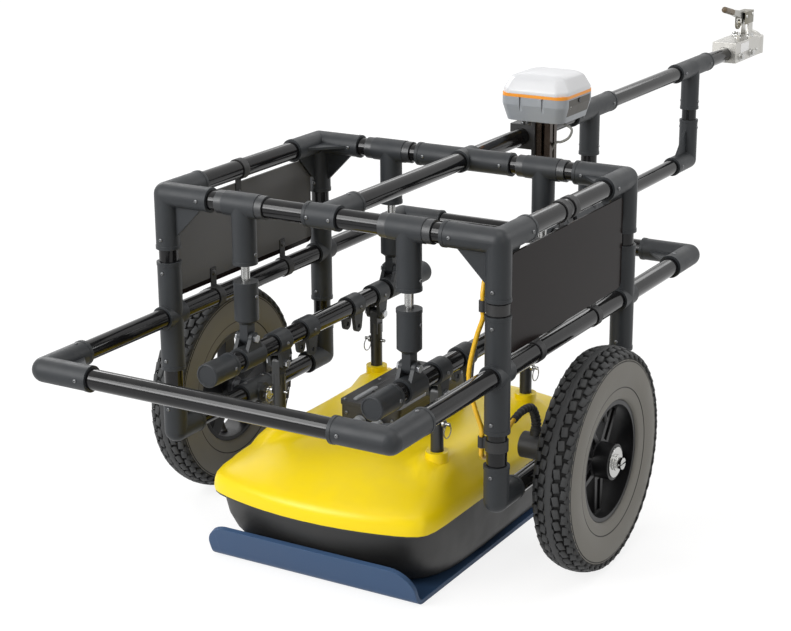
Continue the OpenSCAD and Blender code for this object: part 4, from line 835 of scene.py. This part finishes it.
# Receiver: a satellite antenna under a white crowned dome, with an orange band and a grey case.
# It stands on a slotted bronze post that a clamp bracket holds to the tow bar.
receiver_x, receiver_y, receiver_z = 0.04375, 0.485, 0.660
receiver_w, dome_z, dome_cut, dome_round = 0.136, 0.712, 0.024, 0.007
white_dome = finish_of("white_dome", (0.585, 0.59, 0.605), (0.645, 0.65, 0.665), (0.28, 0.38),
                       blotch=10.0, bump=0.03, edge_r=0.001, edge_lift=1.0)
dome = flat_form("receiver_dome_shell", receiver_w, receiver_w)
round_corners(dome_cut, 1)
round_corners(dome_round, 3)
raise_steps([(1.0, 0.0055), (0.992, 0.0075), (0.975, 0.0098), (0.91, 0.0185), (0.855, 0.0258), (0.83, 0.0282),
             (0.795, 0.03), (0.74, 0.0318), (0.6, 0.0345), (0.4, 0.036), (0.15, 0.0365)])
close_form(35.0)
dome.data.transform(Matrix.Translation((receiver_x, receiver_y, dome_z)))
dome.data.materials.append(white_dome)
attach(dome, "frame")
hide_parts("receiver_dome")
dress(finish_of("orange_band", (0.8, 0.27, 0.012), (0.86, 0.32, 0.02), (0.35, 0.45),
                blotch=20.0, edge_r=0.001, edge_lift=1.0), "receiver_band")
panel_out_x, panel_z, panel_half_y, panel_half_z = 0.058, 0.6875, 0.0468, 0.0158
panel_blend, panel_tone = 0.0003, (0.022, 0.017, 0.009)


def case_finish():
    """Blue-grey moulded case with a dark panel let into its right face."""
    finish = finish_of("grey_case", (0.255, 0.272, 0.295), (0.315, 0.335, 0.36), (0.36, 0.46),
                       blotch=20.0, grain=1200.0, bump=0.08, edge_r=0.0012, edge_lift=1.15)
    tree = finish.node_tree
    x, y, z = place_in(tree)
    panel = reckon(tree, "GREATER_THAN", x, receiver_x + panel_out_x)
    for place, middle, half in ((y, receiver_y, panel_half_y), (z, panel_z, panel_half_z)):
        off_middle = reckon(tree, "ABSOLUTE", reckon(tree, "SUBTRACT", place, middle))
        panel = reckon(tree, "MULTIPLY", panel, spread(tree, off_middle, half, half - panel_blend))
    paint_over(finish, panel, panel_tone)
    return finish


dress(case_finish(), "receiver_body")
dress(finish_of("dark_button", (0.012, 0.012, 0.013), (0.02, 0.02, 0.022), (0.4, 0.5),
                blotch=60.0, grain=1200.0, bump=0.05), "receiver_button", "receiver_bracket")
lamp_white = finish_of("lamp_white", (0.7, 0.72, 0.7), (0.85, 0.86, 0.84), (0.15, 0.25),
                       blotch=300.0, grain=2000.0, bump=0.02)
bead_steps = [(0.0013, 0.0004), (0.0009, 0.0009), (0.0003, 0.0011)]
bead_model = turned_model("bead_model", lamp_white, 0.0013, bead_steps, corners=10, angle=60.0)
case_foot_x, case_foot_rise, case_slope, case_out = 0.0605, 0.0152, 0.0075 / 0.0156, (0.905, 0.0, -0.424)
lamp_y = receiver_y - 0.038
bead_places = []
for rise in (0.0185, 0.0225, 0.0265, 0.0305):
    lamp_x = receiver_x + case_foot_x + case_slope * (rise - case_foot_rise)
    bead_places.append(((lamp_x, lamp_y, receiver_z + rise), case_out))
set_out(bead_model, bead_places, "receiver_lamps", "frame")
brass_plate = finish_of("brass_plate", (0.42, 0.31, 0.1), (0.52, 0.39, 0.14), (0.3, 0.42),
                        blotch=30.0, metal=0.8)
foot_plate = plate_model("foot_plate_model", brass_plate, width=0.09, length=0.09, height=0.003, corner=0.012)
set_out(foot_plate, [((receiver_x, receiver_y, receiver_z + lid_sink), DOWN)], "receiver_foot_plate", "frame")
dress(finish_of("brown_anodise", (0.03, 0.02, 0.014), (0.048, 0.033, 0.023), (0.24, 0.36),
                blotch=20.0, metal=0.7), "receiver_post")
cap_screw_steps = [(0.0045, 0.0042), (0.0041, 0.0048), (0.0024, 0.0048), (0.0022, 0.0022)]
cap_screw_model = turned_model("cap_screw_model", screw_steel, 0.0045, cap_screw_steps, corners=14)
bracket_half, bracket_screw_ys = 0.0238, (0.473, 0.497)
bracket_screws = [((0.0, y, top_z + bracket_half), UP) for y in bracket_screw_ys]
bracket_screws += [((-bracket_half, y, top_z), LEFT) for y in bracket_screw_ys]
set_out(cap_screw_model, bracket_screws, "receiver_bracket_screws", "frame")
grey_jacket = finish_of("grey_jacket", (0.16, 0.16, 0.15), (0.24, 0.24, 0.225), (0.4, 0.55),
                        blotch=60.0, grain=1400.0, bump=0.05)
smooth_copy("receiver_cable", "receiver_cable_jacket", grey_jacket, "frame", 60.0)


# Coupler: a zinc-plated channel bolted to the tow bar, with the ball cup at its front end.
# Its latch lever has a dark head plate, a painted grip and a hook trigger.
dress(finish_of("zinc_plate", (0.42, 0.41, 0.385), (0.55, 0.54, 0.51), (0.3, 0.44),
                blotch=26.0, bump=0.05, metal=1.0, edge_r=0.0015, edge_lift=1.3), "coupler_body")
dark_steel = finish_of("dark_steel", (0.16, 0.15, 0.12), (0.24, 0.225, 0.18), (0.3, 0.44),
                       blotch=60.0, bump=0.06, metal=1.0, edge_r=0.0008)
dress(dark_steel, "coupler_trigger")
lever_y, lever_z, lever_angle = 1.691, 0.692, math.radians(13)
grip_from, grip_full, grip_brown = 0.1055, 0.106, (0.1, 0.066, 0.03)


def lever_finish():
    """Zinc lever whose grip is painted brown."""
    finish = finish_of("lever_zinc", (0.34, 0.335, 0.315), (0.44, 0.435, 0.41), (0.3, 0.44),
                       blotch=40.0, bump=0.05, edge_r=0.001, edge_lift=1.2)
    tree = finish.node_tree
    x, y, z = place_in(tree)
    back = reckon(tree, "MULTIPLY", reckon(tree, "SUBTRACT", lever_y, y), math.cos(lever_angle))
    up = reckon(tree, "MULTIPLY", reckon(tree, "SUBTRACT", z, lever_z), math.sin(lever_angle))
    grip = spread(tree, reckon(tree, "ADD", back, up), grip_from, grip_full)
    paint_over(finish, grip, grip_brown)
    metal = tree.nodes["Principled BSDF"].inputs["Metallic"]
    tree.links.new(reckon(tree, "SUBTRACT", 1.0, grip), metal)
    return finish


dress(lever_finish(), "coupler_lever")

head_w, head_l, head_h, head_slack = 0.026, 0.058, 0.03, 0.001
head_behind, head_rise = 0.016, 0.0165
lever_head = flat_form("coupler_lever_head", head_w, head_l)
bpy.ops.mesh.extrude_region_move(TRANSFORM_OT_translate={"value": (0.0, 0.0, -head_h)})
head_mesh = bmesh.from_edit_mesh(lever_head.data)
bpy.ops.mesh.select_all(action="DESELECT")
for face in head_mesh.faces:
    middle = face.calc_center_median()
    face.select_set(abs(middle.y) > head_l / 2 - head_slack or middle.z < head_slack - head_h)
bmesh.update_edit_mesh(lever_head.data)
bpy.ops.mesh.delete(type="FACE")
bpy.ops.mesh.select_all(action="SELECT")
bpy.ops.mesh.normals_make_consistent(inside=False)
bpy.ops.object.mode_set(mode="OBJECT")
sheet = lever_head.modifiers.new("sheet", "SOLIDIFY")
sheet.thickness = 0.0016
sheet.offset = -1.0
fold = lever_head.modifiers.new("fold", "BEVEL")
fold.width = 0.0012
fold.segments = 2
bpy.ops.object.modifier_apply(modifier="sheet")
bpy.ops.object.modifier_apply(modifier="fold")
lever_head.data.transform(Matrix.Translation((0.0, lever_y - head_behind, lever_z + head_rise)))
bpy.ops.object.shade_smooth_by_angle(angle=math.radians(35))
lever_head.data.materials.append(dark_steel)
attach(lever_head, "lever")

head_side_x, coupler_side_x, coupler_top_z = 0.0129, 0.0299, 0.6479
side_rivet_y, side_rivet_z, side_bolt_z = 1.689, 0.615, 0.612
rivet_steel_model = turned_model("rivet_steel_model", chrome_steel, 0.0042,
                                 [(0.0042, 0.0006), (0.0034, 0.0019), (0.0015, 0.0026)], corners=14, angle=60.0)
head_rivets = [((side * head_side_x, lever_y + ahead, lever_z + rise), (side, 0, 0)) for side in (-1, 1)
               for ahead, rise in ((-0.036, 0.006), (0.004, 0.008))]
set_out(rivet_steel_model, head_rivets, "coupler_lever_rivets", "lever")
side_rivets = [((side * coupler_side_x, side_rivet_y, side_rivet_z), (side, 0, 0)) for side in (-1, 1)]
set_out(rivet_steel_model, side_rivets, "coupler_side_rivets", "frame")

washer_h = 0.0016
washer_steps = [(0.0095, 0.0014), (0.009, 0.0017), (0.006, 0.0017)]
washer = turned_model("washer_model", chrome_steel, 0.0095, washer_steps, corners=24)
hexagon_steps = [(0.0078, 0.0062), (0.0071, 0.0069), (0.0045, 0.0069), (0.0042, 0.0062)]
hexagon = turned_model("hexagon_model", chrome_steel, 0.0078, hexagon_steps, corners=6, angle=25.0)
hexagon.data.transform(Matrix.Translation((0.0, 0.0, washer_h)))
coupler_bolt = joined([washer, hexagon], "coupler_bolt_model")
coupler_bolts = [((side * coupler_side_x, y, side_bolt_z), (side, 0, 0)) for side in (-1, 1)
                 for y in (1.577, 1.648)]
coupler_bolts += [((x, y, coupler_top_z), UP) for x, y in ((0.0, 1.634), (0.019, 1.668), (-0.019, 1.668))]
set_out(coupler_bolt, coupler_bolts, "coupler_bolts", "frame")
bare_label = finish_of("bare_label", (0.8, 0.8, 0.79), (0.86, 0.86, 0.85), (0.3, 0.4), blotch=30.0, bump=0.02)
label_y, label_z = 1.604, 0.632
side_label = plate_model("side_label_model", bare_label, width=0.022, length=0.054, height=0.0006, corner=0.002)
side_label.data.transform(Matrix.Translation((coupler_side_x, label_y, label_z))
                          @ Matrix.Rotation(math.pi / 2, 4, "Y"))
side_label.name = "coupler_side_label"
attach(side_label, "frame")

for model in (screw_model, rivet_model, cap_face_model, lid_plate, latch_bar, connector_model, block,
              shoulder_block, cleat, tooth, valve_model, bead_model, foot_plate, cap_screw_model,
              rivet_steel_model, coupler_bolt):
    bpy.data.objects.remove(model)
